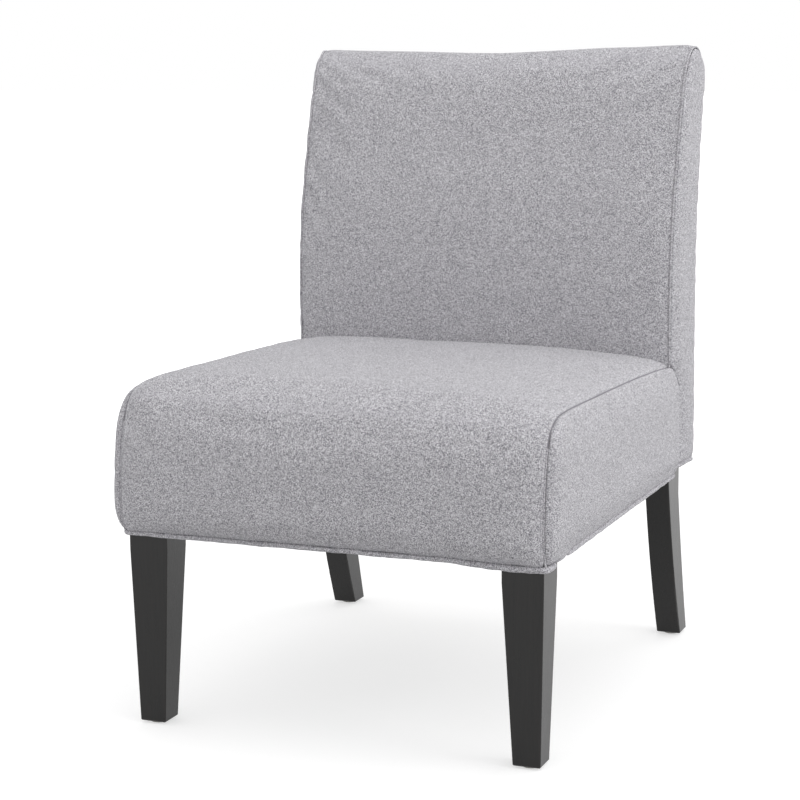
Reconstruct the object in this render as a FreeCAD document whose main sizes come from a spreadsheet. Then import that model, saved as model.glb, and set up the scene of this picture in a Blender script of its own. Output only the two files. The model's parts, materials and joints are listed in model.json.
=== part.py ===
import FreeCAD, Part
import math
import os
import re

import Sketcher

# Slipper chair: an upholstered armless chair on four tapered wooden legs.
# Millimetres. +Z is up, the chair faces -Y, and the origin is on the floor under the middle of the chair.

doc = FreeCAD.newDocument("SlipperChair")
sheet = doc.addObject("Spreadsheet::Sheet", "Sizes")

SIZES = {
    # wooden frame
    "frame_width": 520.0,
    "frame_depth": 586.0,
    "frame_forward": 21.0,
    "rail_bottom": 238.0,
    "rail_height": 65.0,
    "rail_thickness": 22.0,
    # front legs
    "front_leg_square": 50.0,
    "front_leg_foot": 33.5,
    "front_leg_straight": 22.0,
    "front_leg_outer_taper": 5.3,
    "leg_edge_round": 1.6,
    "foot_chamfer": 1.2,
    # rear posts: sabre legs that run up as the uprights of the back
    "post_width": 33.0,
    "post_seat_depth": 55.0,
    "post_foot_depth": 34.0,
    "post_foot_kick": 52.0,
    "post_knee_drop": 26.0,
    "post_front_bow": 7.0,
    "post_rear_bow": 3.0,
    "post_top_height": 775.0,
    "post_top_depth": 30.0,
    "post_lean": 44.0,
    # rails of the back
    "back_rail_thickness": 22.0,
    "top_rail_height": 50.0,
    "lumbar_rail_height": 50.0,
    "lumbar_rail_rise": 122.0,
    # glides under the feet
    "glide_diameter": 22.0,
    "glide_height": 3.0,
    "glide_bevel": 0.8,
    "glide_nail_diameter": 3.0,
    "glide_nail_length": 17.0,
    # corner blocks and fasteners
    "block_reach": 70.0,
    "block_wing": 22.0,
    "block_inset": 5.0,
    "joint_gap": 0.3,
    "dowel_diameter": 8.0,
    "dowel_length": 34.0,
    "dowel_edge": 16.0,
    "bore_fit": 0.1,
    "screw_diameter": 4.0,
    "screw_length": 32.0,
    "panel_screw_length": 28.0,
    "screw_head_diameter": 8.0,
    "screw_head_height": 3.0,
    "screw_edge": 14.0,
    "bolt_diameter": 8.0,
    "bolt_in_leg": 26.0,
    "bolt_free_end": 12.0,
    "washer_diameter": 20.0,
    "washer_thickness": 1.6,
    "nut_across_corners": 15.0,
    "nut_height": 6.5,
    # seat suspension
    "spring_wire": 3.8,
    "spring_width": 52.0,
    "spring_pitch": 22.0,
    "spring_count": 5.0,
    "clip_thickness": 1.2,
    "clip_width": 24.0,
    "clip_tongue": 12.0,
    "clip_play": 0.2,
    "clip_nail_diameter": 2.4,
    "clip_nail_length": 14.0,
    "clip_nail_head": 5.0,
    "clip_nail_head_height": 1.0,
    "deck_thickness": 3.0,
    "deck_edge": 4.0,
    "dust_cover_thickness": 0.8,
    "dust_cover_edge": 1.5,
    # straps of the back
    "strap_width": 50.0,
    "strap_thickness": 2.0,
    "strap_edge": 6.0,
    "strap_count": 3.0,
    # upholstery
    "cover_thickness": 1.6,
    "soft_gap": 0.3,
    "wadding_thickness": 6.0,
    "welt_diameter": 6.4,
    "seat_side_pad": 6.5,
    "seat_front_pad": 6.4,
    "seat_front_bulge": 3.0,
    "seat_front_crown": 8.0,
    "seat_seam_rise": 99.0,
    "seat_seam_fall": 13.0,
    "seat_crown": 23.0,
    "waterfall_reach": 62.0,
    "waterfall_drop": 52.0,
    "seat_side_bulge": 10.5,
    "seat_side_inset": 72.0,
    "seat_side_tail": 27.0,
    "seat_side_corner": 16.0,
    "back_side_pad": 6.5,
    "back_top_pad": 28.0,
    "back_front_pad": 18.0,
    "back_rear_pad": 32.0,
    "back_rise": 13.0,
    "back_crown": 8.0,
    "back_front_upright": 177.0,
    "back_front_sweep": 61.0,
    "back_rear_upright": 197.0,
    "back_rear_sweep": 27.0,
    "back_shoulder": 38.0,
    "back_top_peak": 99.0,
    "back_side_bulge": 5.5,
    "back_side_inset": 48.0,
}

for row, (alias, value) in enumerate(SIZES.items(), start=1):
    sheet.set(f"A{row}", alias)
    sheet.set(f"B{row}", str(value))
    sheet.setAlias(f"B{row}", alias)
doc.recompute()

parts = {}


# Formulas

def linked(formula):
    """The formula with every size named in it read from the sheet."""
    return re.sub(r"[a-z_]+", lambda word: f"Sizes.{word[0]}" if word[0] in SIZES else word[0], formula)


def number(formula):
    """What the formula is worth now."""
    worth = sheet.evalExpression(formula)
    return float(getattr(worth, "Value", worth))


def bind(thing, **formulas):
    """Set each property to its formula; an underscore stands for a dot in a property's path."""
    for path, formula in formulas.items():
        thing.setExpression(path.replace("_", "."), linked(formula))


def mirrored(side, formula):
    """The same distance on the left (-X) or the right (+X)."""
    return f"-({formula})" if side == "left" else f"({formula})"


# Places that several pieces share

SIDES = ("left", "right")
HALF = "frame_width / 2"
FRONT = "(-frame_depth / 2 - frame_forward)"
POST_REAR = "(frame_depth / 2 - frame_forward)"
POST_FRONT = f"({POST_REAR} - post_seat_depth)"
RAIL_TOP = "(rail_bottom + rail_height)"
POST_RISE = f"(post_top_height - {RAIL_TOP})"
LUMBAR_RAIL_BOTTOM = f"({RAIL_TOP} + lumbar_rail_rise)"
LUMBAR_RAIL_TOP = f"({LUMBAR_RAIL_BOTTOM} + lumbar_rail_height)"
TOP_RAIL_BOTTOM = "(post_top_height - top_rail_height)"
FRONT_LEAN = "(post_lean + post_seat_depth - post_top_depth)"
INNER_RAIL = f"({HALF} - rail_thickness)"
REAR_RAIL_FRONT = f"({POST_REAR} - rail_thickness)"
CLIP_RADIUS = "(spring_wire / 2 + clip_play)"
SPRING_LEVEL = f"({RAIL_TOP} + clip_thickness + {CLIP_RADIUS})"
DECK_BOTTOM = f"({SPRING_LEVEL} + {CLIP_RADIUS} + clip_thickness + soft_gap)"
FRONT_CLIP = f"({FRONT} + rail_thickness / 2 - clip_play)"
REAR_CLIP = f"({REAR_RAIL_FRONT} + rail_thickness / 2 + clip_play)"


def post_front(height):
    """The front face of the posts at a height above the rails."""
    return f"({POST_FRONT} + {FRONT_LEAN} * ({height} - {RAIL_TOP}) / {POST_RISE})"


# Ways of making a piece

def keep(node, thing):
    """Hold the object as the sub-part of that name."""
    thing.Label = node
    parts[node] = thing
    return thing


def sketch_on(body, role, height, corners, bows):
    """A closed sketch on one of the body's origin planes, lifted by height along the plane's normal.
    Each corner is two formulas; bows holds the rise of an edge that is an arc, by the edge's number."""
    sketch = body.newObject("Sketcher::SketchObject", f"{body.Name}Sketch")
    plane = next(feature for feature in body.Origin.OriginFeatures if feature.Role == role)
    sketch.AttachmentSupport = [(plane, "")]
    sketch.MapMode = "FlatFace"
    sketch.setExpression("AttachmentOffset.Base.z", linked(height))
    points = [FreeCAD.Vector(number(across), number(up), 0) for across, up in corners]
    count = len(points)
    for edge, start in enumerate(points):
        end = points[(edge + 1) % count]
        if edge in bows:
            chord = end - start
            rise = number(bows[edge])
            middle = (start + end) * 0.5 + FreeCAD.Vector(chord.y, -chord.x, 0).normalize() * rise
            first, last = (start, end) if rise > 0 else (end, start)
            sketch.addGeometry(Part.Arc(first, middle, last), False)
        else:
            sketch.addGeometry(Part.LineSegment(start, end), False)

    def end_at(edge, point):
        shape = sketch.Geometry[edge]
        return 1 if (shape.StartPoint - point).Length < (shape.EndPoint - point).Length else 2

    for edge, start in enumerate(points):
        before = (edge - 1) % count
        corner = (before, end_at(before, start), edge, end_at(edge, start))
        sketch.addConstraint(Sketcher.Constraint("Coincident", *corner))
        for kind, formula, worth in zip(("DistanceX", "DistanceY"), corners[edge], start):
            place = sketch.addConstraint(Sketcher.Constraint(kind, edge, end_at(edge, start), worth))
            sketch.setExpression(f"Constraints[{place}]", linked(formula))
    for edge, bow in bows.items():
        radius = sketch.addConstraint(Sketcher.Constraint("Radius", edge, sketch.Geometry[edge].Radius))
        (ax, ay), (bx, by) = corners[edge], corners[(edge + 1) % count]
        run, rise = (f"(({bx}) - ({ax}))", f"(({by}) - ({ay}))")
        chord = f"({run} * {run} + {rise} * {rise})"
        sketch.setExpression(f"Constraints[{radius}]", linked(f"abs({chord} / (8 * ({bow})) + ({bow}) / 2)"))
    return sketch


def extruded(node, role, corners, low, high, bows=None):
    """A body: one closed outline padded from low to high along the plane's normal."""
    body = doc.addObject("PartDesign::Body", node)
    pad = body.newObject("PartDesign::Pad", f"{node}Pad")
    pad.Profile = sketch_on(body, role, low, corners, bows or {})
    bind(pad, Length=f"({high}) - ({low})")
    body.Tip = pad
    return body


def from_side(node, corners, low, high, bows=None):
    """An outline seen from the side (Y, Z), running from low to high along X."""
    return extruded(node, "YZ_Plane", corners, low, high, bows)


def from_above(node, corners, low, high, bows=None):
    """An outline seen from above (X, Y), running from low to high along Z."""
    return extruded(node, "XY_Plane", corners, low, high, bows)


def box_outline(low_a, high_a, low_b, high_b):
    """The four corners of an upright rectangle."""
    return [(low_a, low_b), (high_a, low_b), (high_a, high_b), (low_a, high_b)]


def rod(name, place, direction, diameter, length):
    """A round bar from a place (three formulas) along a direction."""
    bar = doc.addObject("Part::Cylinder", name)
    turn = FreeCAD.Rotation(FreeCAD.Vector(0, 0, 1), FreeCAD.Vector(*direction))
    bar.Placement = FreeCAD.Placement(FreeCAD.Vector(), turn)
    bind(bar, Radius=f"({diameter}) / 2", Height=length)
    for axis, formula in zip("xyz", place):
        bar.setExpression(f"Placement.Base.{axis}", linked(formula))
    return bar


def shifted(place, direction, distance):
    """The place moved along a unit direction by a distance formula."""
    return tuple(f"{at} + ({part}) * ({distance})" for at, part in zip(place, direction))


def joined(name, *things):
    """One object from several that touch or overlap."""
    fusion = doc.addObject("Part::MultiFuse", name)
    fusion.Shapes = list(things)
    return fusion


def together(name, things):
    """Separate solids held in one object."""
    group = doc.addObject("Part::Compound", name)
    group.Links = list(things)
    return group


def cut(name, base, tool):
    """The base less the tool."""
    result = doc.addObject("Part::Cut", name)
    result.Base = base
    result.Tool = tool
    return result


# Fasteners: each adds its bar to a group and its bore to the list that the wood is drilled with

groups = {}
bores = []


def add_dowel(place, direction):
    """A dowel with its middle at a joint's face."""
    start = shifted(place, direction, "-dowel_length / 2")
    index = len(bores)
    dowel = rod(f"dowel_{index}", start, direction, "dowel_diameter", "dowel_length")
    groups.setdefault("rail_dowels", []).append(dowel)
    deeper = shifted(place, direction, "-dowel_length / 2 - bore_fit")
    wider = "dowel_diameter + 2 * bore_fit"
    bores.append(rod(f"dowel_bore_{index}", deeper, direction, wider, "dowel_length + 2 * bore_fit"))


def add_screw(group, place, direction, length):
    """A flat-headed screw whose head lies flush with the face at the place."""
    index = len(bores)
    head = rod(f"head_{index}", place, direction, "screw_head_diameter", "screw_head_height")
    shank = rod(f"shank_{index}", place, direction, "screw_diameter", length)
    groups.setdefault(group, []).append(joined(f"screw_{index}", head, shank))
    outside = shifted(place, direction, "-bore_fit")
    head_bore = rod(f"head_bore_{index}", outside, direction,
                    "screw_head_diameter + 2 * bore_fit", "screw_head_height + 2 * bore_fit")
    shank_bore = rod(f"shank_bore_{index}", outside, direction,
                     "screw_diameter + 2 * bore_fit", f"{length} + 2 * bore_fit")
    bores.append(joined(f"screw_bore_{index}", head_bore, shank_bore))


# Dowels in every rail joint

for side in SIDES:
    inward = (1, 0, 0) if side == "left" else (-1, 0, 0)
    for level in ("rail_bottom + dowel_edge", f"{RAIL_TOP} - dowel_edge"):
        rail_middle = mirrored(side, f"{HALF} - rail_thickness / 2")
        add_dowel((rail_middle, f"{FRONT} + front_leg_square", level), (0, 1, 0))
        add_dowel((rail_middle, POST_FRONT, level), (0, 1, 0))
        leg_face = mirrored(side, f"{HALF} - front_leg_square")
        add_dowel((leg_face, f"{FRONT} + rail_thickness / 2", level), inward)
        post_face = mirrored(side, f"{HALF} - post_width")
        add_dowel((post_face, f"{REAR_RAIL_FRONT} + rail_thickness / 2", level), inward)
    for bottom, height in ((LUMBAR_RAIL_BOTTOM, "lumbar_rail_height"), (TOP_RAIL_BOTTOM, "top_rail_height")):
        for level in (f"({bottom} + {height} / 4)", f"({bottom} + 3 * {height} / 4)"):
            middle = f"{post_front(level)} + back_rail_thickness / 2"
            add_dowel((mirrored(side, f"{HALF} - post_width"), middle, level), inward)

# Screws of the corner blocks, two to a block

BLOCK_LEVEL = f"({RAIL_TOP} + rail_bottom) / 2"
FRONT_RAIL_REAR = f"({FRONT} + rail_thickness)"
LEG_INNER = f"({HALF} - front_leg_square - joint_gap)"
LEG_REAR = f"({FRONT} + front_leg_square + joint_gap)"
POST_INNER = f"({HALF} - post_width - joint_gap)"
POST_FACE = f"({POST_FRONT} - joint_gap)"

for side in SIDES:
    outward = (-1, 0, 0) if side == "left" else (1, 0, 0)
    inner_face = mirrored(side, f"{INNER_RAIL} - block_wing")
    front_wing = mirrored(side, f"{LEG_INNER} - block_reach + screw_edge")
    rear_wing = mirrored(side, f"{POST_INNER} - block_reach + screw_edge")
    block_screws = [
        (front_wing, f"{FRONT_RAIL_REAR} + block_wing", (0, -1, 0)),
        (inner_face, f"{LEG_REAR} + block_reach - screw_edge", outward),
        (rear_wing, f"{REAR_RAIL_FRONT} - block_wing", (0, 1, 0)),
        (inner_face, f"{POST_FACE} - block_reach + screw_edge", outward),
    ]
    for across, along, direction in block_screws:
        add_screw("block_screws", (across, along, BLOCK_LEVEL), direction, "screw_length")

# Screws that hold the panel rail to the backs of the posts

PANEL_RAIL_BOTTOM = "(rail_bottom + back_rise + welt_diameter / 2 + wadding_thickness / 2)"
PANEL_RAIL_REAR = f"({POST_REAR} + back_rear_pad - cover_thickness - wadding_thickness - 2 * soft_gap)"

for side in SIDES:
    for share in ("1 / 4", "3 / 4"):
        level = f"{PANEL_RAIL_BOTTOM} + ({RAIL_TOP} - {PANEL_RAIL_BOTTOM}) * {share}"
        middle = mirrored(side, f"{HALF} - post_width / 2")
        add_screw("panel_rail_screws", (middle, PANEL_RAIL_REAR, level), (0, -1, 0), "panel_screw_length")

# Leg bolts: hanger bolts through the front corner blocks into the legs, with washers and nuts

SLANT = math.sqrt(0.5)
TOLERANCE = 0.01
BLOCK_STEP_SHARE = 0.45
BLOCK_STEP = f"(block_reach - block_wing) * {BLOCK_STEP_SHARE}"

for side in SIDES:
    sign = -1 if side == "left" else 1
    into_leg = (sign * SLANT, -SLANT, 0)
    leg_corner = (mirrored(side, LEG_INNER), LEG_REAR, BLOCK_LEVEL)
    to_face = f"{BLOCK_STEP} * {SLANT}"
    seat = shifted(leg_corner, into_leg, f"-({to_face})")
    start = shifted(seat, into_leg, "-bolt_free_end")
    length = f"bolt_free_end + {to_face} + bolt_in_leg"
    groups.setdefault("leg_bolts", []).append(rod(f"bolt_{side}", start, into_leg, "bolt_diameter", length))
    wider = "bolt_diameter + 2 * bore_fit"
    bores.append(rod(f"bolt_bore_{side}", start, into_leg, wider, f"{length} + bore_fit"))
    hole = rod(f"washer_hole_{side}", start, into_leg, wider, "bolt_free_end + bolt_diameter")
    disc_place = shifted(seat, into_leg, "-washer_thickness")
    disc = rod(f"washer_disc_{side}", disc_place, into_leg, "washer_diameter", "washer_thickness")
    groups.setdefault("leg_bolt_washers", []).append(cut(f"washer_{side}", disc, hole))
    hexagon = doc.addObject("Part::Prism", f"nut_hexagon_{side}")
    hexagon.Polygon = 6
    hexagon.Placement = disc.Placement
    bind(hexagon, Circumradius="nut_across_corners / 2", Height="nut_height")
    nut_place = shifted(seat, into_leg, "-washer_thickness - nut_height")
    for axis, formula in zip("xyz", nut_place):
        hexagon.setExpression(f"Placement.Base.{axis}", linked(formula))
    groups.setdefault("leg_bolt_nuts", []).append(cut(f"nut_{side}", hexagon, hole))

# Glide nails

FOOT_MIDDLE_X = f"({HALF} - front_leg_outer_taper - front_leg_foot / 2)"
FOOT_MIDDLE_Y = f"({FRONT} + front_leg_outer_taper + front_leg_foot / 2)"
POST_FOOT_REAR = f"({POST_REAR} + post_foot_kick)"
feet = {}
for side in SIDES:
    feet[f"front_{side}"] = (mirrored(side, FOOT_MIDDLE_X), FOOT_MIDDLE_Y)
    rear_place = (mirrored(side, f"{HALF} - post_width / 2"), f"{POST_FOOT_REAR} - post_foot_depth / 2")
    feet[f"rear_{side}"] = rear_place
for foot, (across, along) in feet.items():
    place = (across, along, "glide_height / 3")
    nail = rod(f"glide_nail_{foot}", place, (0, 0, 1), "glide_nail_diameter", "glide_nail_length")
    groups.setdefault("glide_nails", []).append(nail)
    place = (across, along, "glide_height / 3 - bore_fit")
    wider = "glide_nail_diameter + 2 * bore_fit"
    bores.append(rod(f"glide_bore_{foot}", place, (0, 0, 1), wider, "glide_nail_length + 2 * bore_fit"))

# Clip nails

spring_middles = []
for index in range(int(number("spring_count"))):
    spring_middles.append(f"({index} - (spring_count - 1) / 2) * frame_width / (spring_count + 1)")
clip_rows = {"front": (FRONT_CLIP, 1), "rear": (REAR_CLIP, -1)}
for end, (row, way) in clip_rows.items():
    for index, middle in enumerate(spring_middles):
        top = f"{RAIL_TOP} + clip_thickness"
        spot = (middle, f"{row} + {way} * (clip_tongue - clip_nail_head)", top)
        head = rod(f"nail_head_{end}_{index}", spot, (0, 0, 1), "clip_nail_head", "clip_nail_head_height")
        shank = rod(f"nail_{end}_{index}", spot, (0, 0, -1), "clip_nail_diameter", "clip_nail_length")
        groups.setdefault("clip_nails", []).append(joined(f"clip_nail_{end}_{index}", head, shank))
        wider = "clip_nail_diameter + 2 * bore_fit"
        bores.append(rod(f"clip_bore_{end}_{index}", spot, (0, 0, -1), wider, "clip_nail_length + bore_fit"))

for group, members in groups.items():
    keep(group, together(group, members))

drill = together("drill", bores)


def drilled(node, blank):
    """The piece with every bore that reaches it."""
    blank.Label = f"{node}_blank"
    return keep(node, cut(f"{node}_drilled", blank, drill))


# Front legs: a square block in the corner of the frame, tapered below the seat

def edges_along(feature, low, high, least):
    """The names of a feature's long edges that lie between two heights."""
    names = []
    for index, edge in enumerate(feature.Shape.Edges, start=1):
        box = edge.BoundBox
        if low <= box.ZMin and box.ZMax <= high and box.ZLength >= least:
            names.append(f"Edge{index}")
    return names


def foot_edges(feature):
    """The names of the edges round a foot's underside."""
    floor = min(vertex.Z for vertex in feature.Shape.Vertexes)
    names = []
    for index, edge in enumerate(feature.Shape.Edges, start=1):
        if max(vertex.Z for vertex in edge.Vertexes) < floor + TOLERANCE:
            names.append(f"Edge{index}")
    return names


def dressed(body, feature, edge_names, kind, prop, formula):
    """A fillet or chamfer on named edges of the body's last feature."""
    dress = body.newObject(kind, f"{body.Name}{kind[12:]}")
    dress.Base = (feature, edge_names)
    bind(dress, **{prop: formula})
    body.Tip = dress
    doc.recompute()
    return dress


def finished_leg(body, tip, low, high, least):
    """The leg with its long edges eased and its foot chamfered."""
    doc.recompute()
    long_edges = edges_along(tip, low, high, least)
    eased = dressed(body, tip, long_edges, "PartDesign::Fillet", "Radius", "leg_edge_round")
    dressed(body, eased, foot_edges(eased), "PartDesign::Chamfer", "Size", "foot_chamfer")


TAPER_TOP = "(rail_bottom - front_leg_straight)"
for side in SIDES:
    node = f"front_leg_{side}"
    body = doc.addObject("PartDesign::Body", node)
    outer, inner = (HALF, f"{HALF} - front_leg_square")
    if side == "left":
        outer, inner = (f"-({inner})", f"-({outer})")
    block = box_outline(inner, outer, FRONT, f"{FRONT} + front_leg_square")
    square = sketch_on(body, "XY_Plane", TAPER_TOP, block, {})
    foot_outer = f"{HALF} - front_leg_outer_taper"
    foot_inner = f"{foot_outer} - front_leg_foot"
    if side == "left":
        foot_outer, foot_inner = (f"-({foot_inner})", f"-({foot_outer})")
    foot_front = f"{FRONT} + front_leg_outer_taper"
    foot = box_outline(foot_inner, foot_outer, foot_front, f"{foot_front} + front_leg_foot")
    sole = sketch_on(body, "XY_Plane", "glide_height", foot, {})
    doc.recompute()
    taper = body.newObject("PartDesign::AdditiveLoft", f"{node}Taper")
    taper.Profile = sole
    taper.Sections = [square]
    taper.Ruled = True
    body.Tip = taper
    doc.recompute()
    upper = body.newObject("PartDesign::Pad", f"{node}Block")
    upper.Profile = sketch_on(body, "XY_Plane", TAPER_TOP, block, {})
    bind(upper, Length=f"{RAIL_TOP} - {TAPER_TOP}")
    body.Tip = upper
    finished_leg(body, upper, 0, number(TAPER_TOP) + TOLERANCE, 50)
    drilled(node, body)

# Rear posts: sabre legs below the seat, leaning uprights above it

POST_FOOT_FRONT = f"({POST_FOOT_REAR} - post_foot_depth)"
KNEE = "(rail_bottom - post_knee_drop)"
post_outline = [
    (POST_FOOT_FRONT, "glide_height"),
    (POST_FOOT_REAR, "glide_height"),
    (POST_REAR, KNEE),
    (POST_REAR, RAIL_TOP),
    (f"{POST_REAR} + post_lean", "post_top_height"),
    (f"{POST_REAR} + post_lean - post_top_depth", "post_top_height"),
    (POST_FRONT, RAIL_TOP),
    (POST_FRONT, "rail_bottom"),
]
for side in SIDES:
    node = f"rear_post_{side}"
    low, high = (f"{HALF} - post_width", HALF)
    if side == "left":
        low, high = (f"-({high})", f"-({low})")
    body = from_side(node, post_outline, low, high, {1: "-post_rear_bow", 7: "post_front_bow"})
    finished_leg(body, body.Tip, 0, number("rail_bottom") + TOLERANCE, 50)
    drilled(node, body)

# Rails of the seat frame

rail_span = ("rail_bottom", RAIL_TOP)
LEG_SPACE = f"({HALF} - front_leg_square)"
POST_SPACE = f"({HALF} - post_width)"
front_rail = box_outline(f"-{LEG_SPACE}", LEG_SPACE, FRONT, FRONT_RAIL_REAR)
drilled("front_rail", from_above("front_rail", front_rail, *rail_span))
rear_rail = box_outline(f"-{POST_SPACE}", POST_SPACE, REAR_RAIL_FRONT, f"{REAR_RAIL_FRONT} + rail_thickness")
drilled("rear_rail", from_above("rear_rail", rear_rail, *rail_span))
for side in SIDES:
    low, high = (INNER_RAIL, HALF)
    if side == "left":
        low, high = (f"-({high})", f"-({low})")
    side_rail = box_outline(low, high, f"{FRONT} + front_leg_square", POST_FRONT)
    drilled(f"side_rail_{side}", from_above(f"side_rail_{side}", side_rail, *rail_span))

# Rails of the back: two between the posts along their front faces, and one lapped behind them

back_rails = {
    "lumbar_rail": (LUMBAR_RAIL_BOTTOM, LUMBAR_RAIL_TOP),
    "top_rail": (TOP_RAIL_BOTTOM, "post_top_height"),
}
for node, (low, high) in back_rails.items():
    near, far = (post_front(low), post_front(high))
    slanted = [
        (near, low),
        (f"{near} + back_rail_thickness", low),
        (f"{far} + back_rail_thickness", high),
        (far, high),
    ]
    drilled(node, from_side(node, slanted, f"-{POST_SPACE}", POST_SPACE))
panel_rail = box_outline(POST_REAR, PANEL_RAIL_REAR, PANEL_RAIL_BOTTOM, RAIL_TOP)
drilled("panel_rail", from_side("panel_rail", panel_rail, f"-({HALF})", HALF))

# Corner blocks: two wings on the rails and a slanted face towards the middle, clear of the leg's corner

BLOCK_LOW = "rail_bottom + block_inset"
BLOCK_HIGH = f"{RAIL_TOP} - block_inset"
for side in SIDES:
    def out(formula):
        return mirrored(side, formula)

    wing_face = out(f"{INNER_RAIL} - block_wing")
    front_block = [
        (out(f"{LEG_INNER} - block_reach"), FRONT_RAIL_REAR),
        (out(LEG_INNER), FRONT_RAIL_REAR),
        (out(LEG_INNER), LEG_REAR),
        (out(INNER_RAIL), LEG_REAR),
        (out(INNER_RAIL), f"{LEG_REAR} + block_reach"),
        (wing_face, f"{LEG_REAR} + block_reach"),
        (wing_face, f"{LEG_REAR} + {BLOCK_STEP} + {INNER_RAIL} - block_wing - {LEG_INNER}"),
        (out(f"{LEG_INNER} - {BLOCK_STEP} + {LEG_REAR} - {FRONT_RAIL_REAR} - block_wing"),
         f"{FRONT_RAIL_REAR} + block_wing"),
        (out(f"{LEG_INNER} - block_reach"), f"{FRONT_RAIL_REAR} + block_wing"),
    ]
    node = f"corner_block_front_{side}"
    drilled(node, from_above(node, front_block, BLOCK_LOW, BLOCK_HIGH))
    rear_face = f"{REAR_RAIL_FRONT} - block_wing"
    rear_block = [
        (out(f"{POST_INNER} - block_reach"), REAR_RAIL_FRONT),
        (out(f"{POST_INNER} - block_reach"), rear_face),
        (out(f"{INNER_RAIL} - 2 * block_wing"), rear_face),
        (wing_face, f"{rear_face} - block_wing"),
        (wing_face, f"{POST_FACE} - block_reach"),
        (out(INNER_RAIL), f"{POST_FACE} - block_reach"),
        (out(INNER_RAIL), POST_FACE),
        (out(POST_INNER), POST_FACE),
        (out(POST_INNER), REAR_RAIL_FRONT),
    ]
    node = f"corner_block_rear_{side}"
    drilled(node, from_above(node, rear_block, BLOCK_LOW, BLOCK_HIGH))

# Glides: round plastic feet, each with a bevelled rim and a hole for its nail

for foot, (across, along) in feet.items():
    rim = doc.addObject("Part::Cone", f"glide_rim_{foot}")
    bind(rim, Radius1="glide_diameter / 2 - glide_bevel", Radius2="glide_diameter / 2", Height="glide_bevel")
    for axis, formula in zip("xyz", (across, along, "0")):
        rim.setExpression(f"Placement.Base.{axis}", linked(formula))
    disc = rod(f"glide_disc_{foot}", (across, along, "glide_bevel"), (0, 0, 1),
               "glide_diameter", "glide_height - glide_bevel")
    drilled(f"glide_{foot}", joined(f"glide_blank_{foot}", rim, disc))

# Spring clips: a tongue nailed to the rail that curls over the end of the spring

clips = []
for end, (row, way) in clip_rows.items():
    for index, middle in enumerate(spring_middles):
        outer = f"({CLIP_RADIUS} + clip_thickness)"
        tongue = f"{row} + {way} * clip_tongue"
        clip = [
            (tongue, RAIL_TOP),
            (tongue, f"{RAIL_TOP} + clip_thickness"),
            (row, f"{RAIL_TOP} + clip_thickness"),
            (f"{row} - {way} * {CLIP_RADIUS}", SPRING_LEVEL),
            (row, f"{SPRING_LEVEL} + {CLIP_RADIUS}"),
            (row, f"{SPRING_LEVEL} + {outer}"),
            (f"{row} - {way} * {outer}", SPRING_LEVEL),
            (row, RAIL_TOP),
        ]
        quarter = 1 - math.cos(math.pi / 4)
        inside, outside = (f"{-way * quarter} * {CLIP_RADIUS}", f"{way * quarter} * {outer}")
        bows = {2: inside, 3: inside, 5: outside, 6: outside}
        low, high = (f"{middle} - clip_width / 2", f"{middle} + clip_width / 2")
        blank = from_side(f"clip_{end}_{index}", clip, low, high, bows)
        clips.append(cut(f"clip_{end}_{index}_drilled", blank, drill))
keep("spring_clips", together("spring_clips", clips))

# Deck over the springs and dust cover under the rails

deck = box_outline(f"-({HALF} - deck_edge)", f"{HALF} - deck_edge",
                   f"{FRONT} + deck_edge", f"{POST_FRONT} - deck_edge")
keep("seat_deck", from_above("seat_deck", deck, DECK_BOTTOM, f"{DECK_BOTTOM} + deck_thickness"))

sheet_edge = f"({HALF} - dust_cover_edge)"
dust_rear = f"{REAR_RAIL_FRONT} + rail_thickness - dust_cover_edge"
dust_low = "rail_bottom - dust_cover_thickness"
dust_outline = [
    (f"-{LEG_INNER}", f"{FRONT} + dust_cover_edge"),
    (LEG_INNER, f"{FRONT} + dust_cover_edge"),
    (LEG_INNER, LEG_REAR),
    (sheet_edge, LEG_REAR),
    (sheet_edge, POST_FACE),
    (POST_INNER, POST_FACE),
    (POST_INNER, dust_rear),
    (f"-{POST_INNER}", dust_rear),
    (f"-{POST_INNER}", POST_FACE),
    (f"-{sheet_edge}", POST_FACE),
    (f"-{sheet_edge}", LEG_REAR),
    (f"-{LEG_INNER}", LEG_REAR),
]
keep("dust_cover", from_above("dust_cover", dust_outline, dust_low, "rail_bottom"))

# Elastic straps across the back, flat on the front faces of the posts

straps = []
for index in range(int(number("strap_count"))):
    middle = f"({LUMBAR_RAIL_TOP} + ({TOP_RAIL_BOTTOM} - {LUMBAR_RAIL_TOP}) * ({index} + 0.5) / strap_count)"
    low = f"({middle} - strap_width / 2)"
    high = f"({middle} + strap_width / 2)"
    near, far = (post_front(low), post_front(high))
    strap = [(f"{near} - strap_thickness", low), (near, low), (far, high), (f"{far} - strap_thickness", high)]
    reach = f"({HALF} - strap_edge)"
    straps.append(from_side(f"strap_{index}", strap, f"-{reach}", reach))
keep("back_straps", together("back_straps", straps))

doc.recompute()


# Soft and wound forms, which follow curves in three directions, read the same sizes

def solid_piece(node, shape):
    """Hold a finished solid as a sub-part."""
    feature = doc.addObject("Part::Feature", node)
    feature.Shape = shape
    return keep(node, feature)


def wire_of(x, corners, middles):
    """A closed outline at one station along X. An edge with a middle point is an arc through it."""
    places = [FreeCAD.Vector(x, along, up) for along, up in corners]
    edges = []
    for index, start in enumerate(places):
        end = places[(index + 1) % len(places)]
        if index in middles:
            along, up = middles[index]
            edges.append(Part.Arc(start, FreeCAD.Vector(x, along, up), end).toShape())
        else:
            edges.append(Part.LineSegment(start, end).toShape())
    return Part.Wire(edges)


def between(start, end, across, up):
    """A point part of the way from start to end, by separate shares across and up."""
    return (start[0] + across * (end[0] - start[0]), start[1] + up * (end[1] - start[1]))


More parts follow.
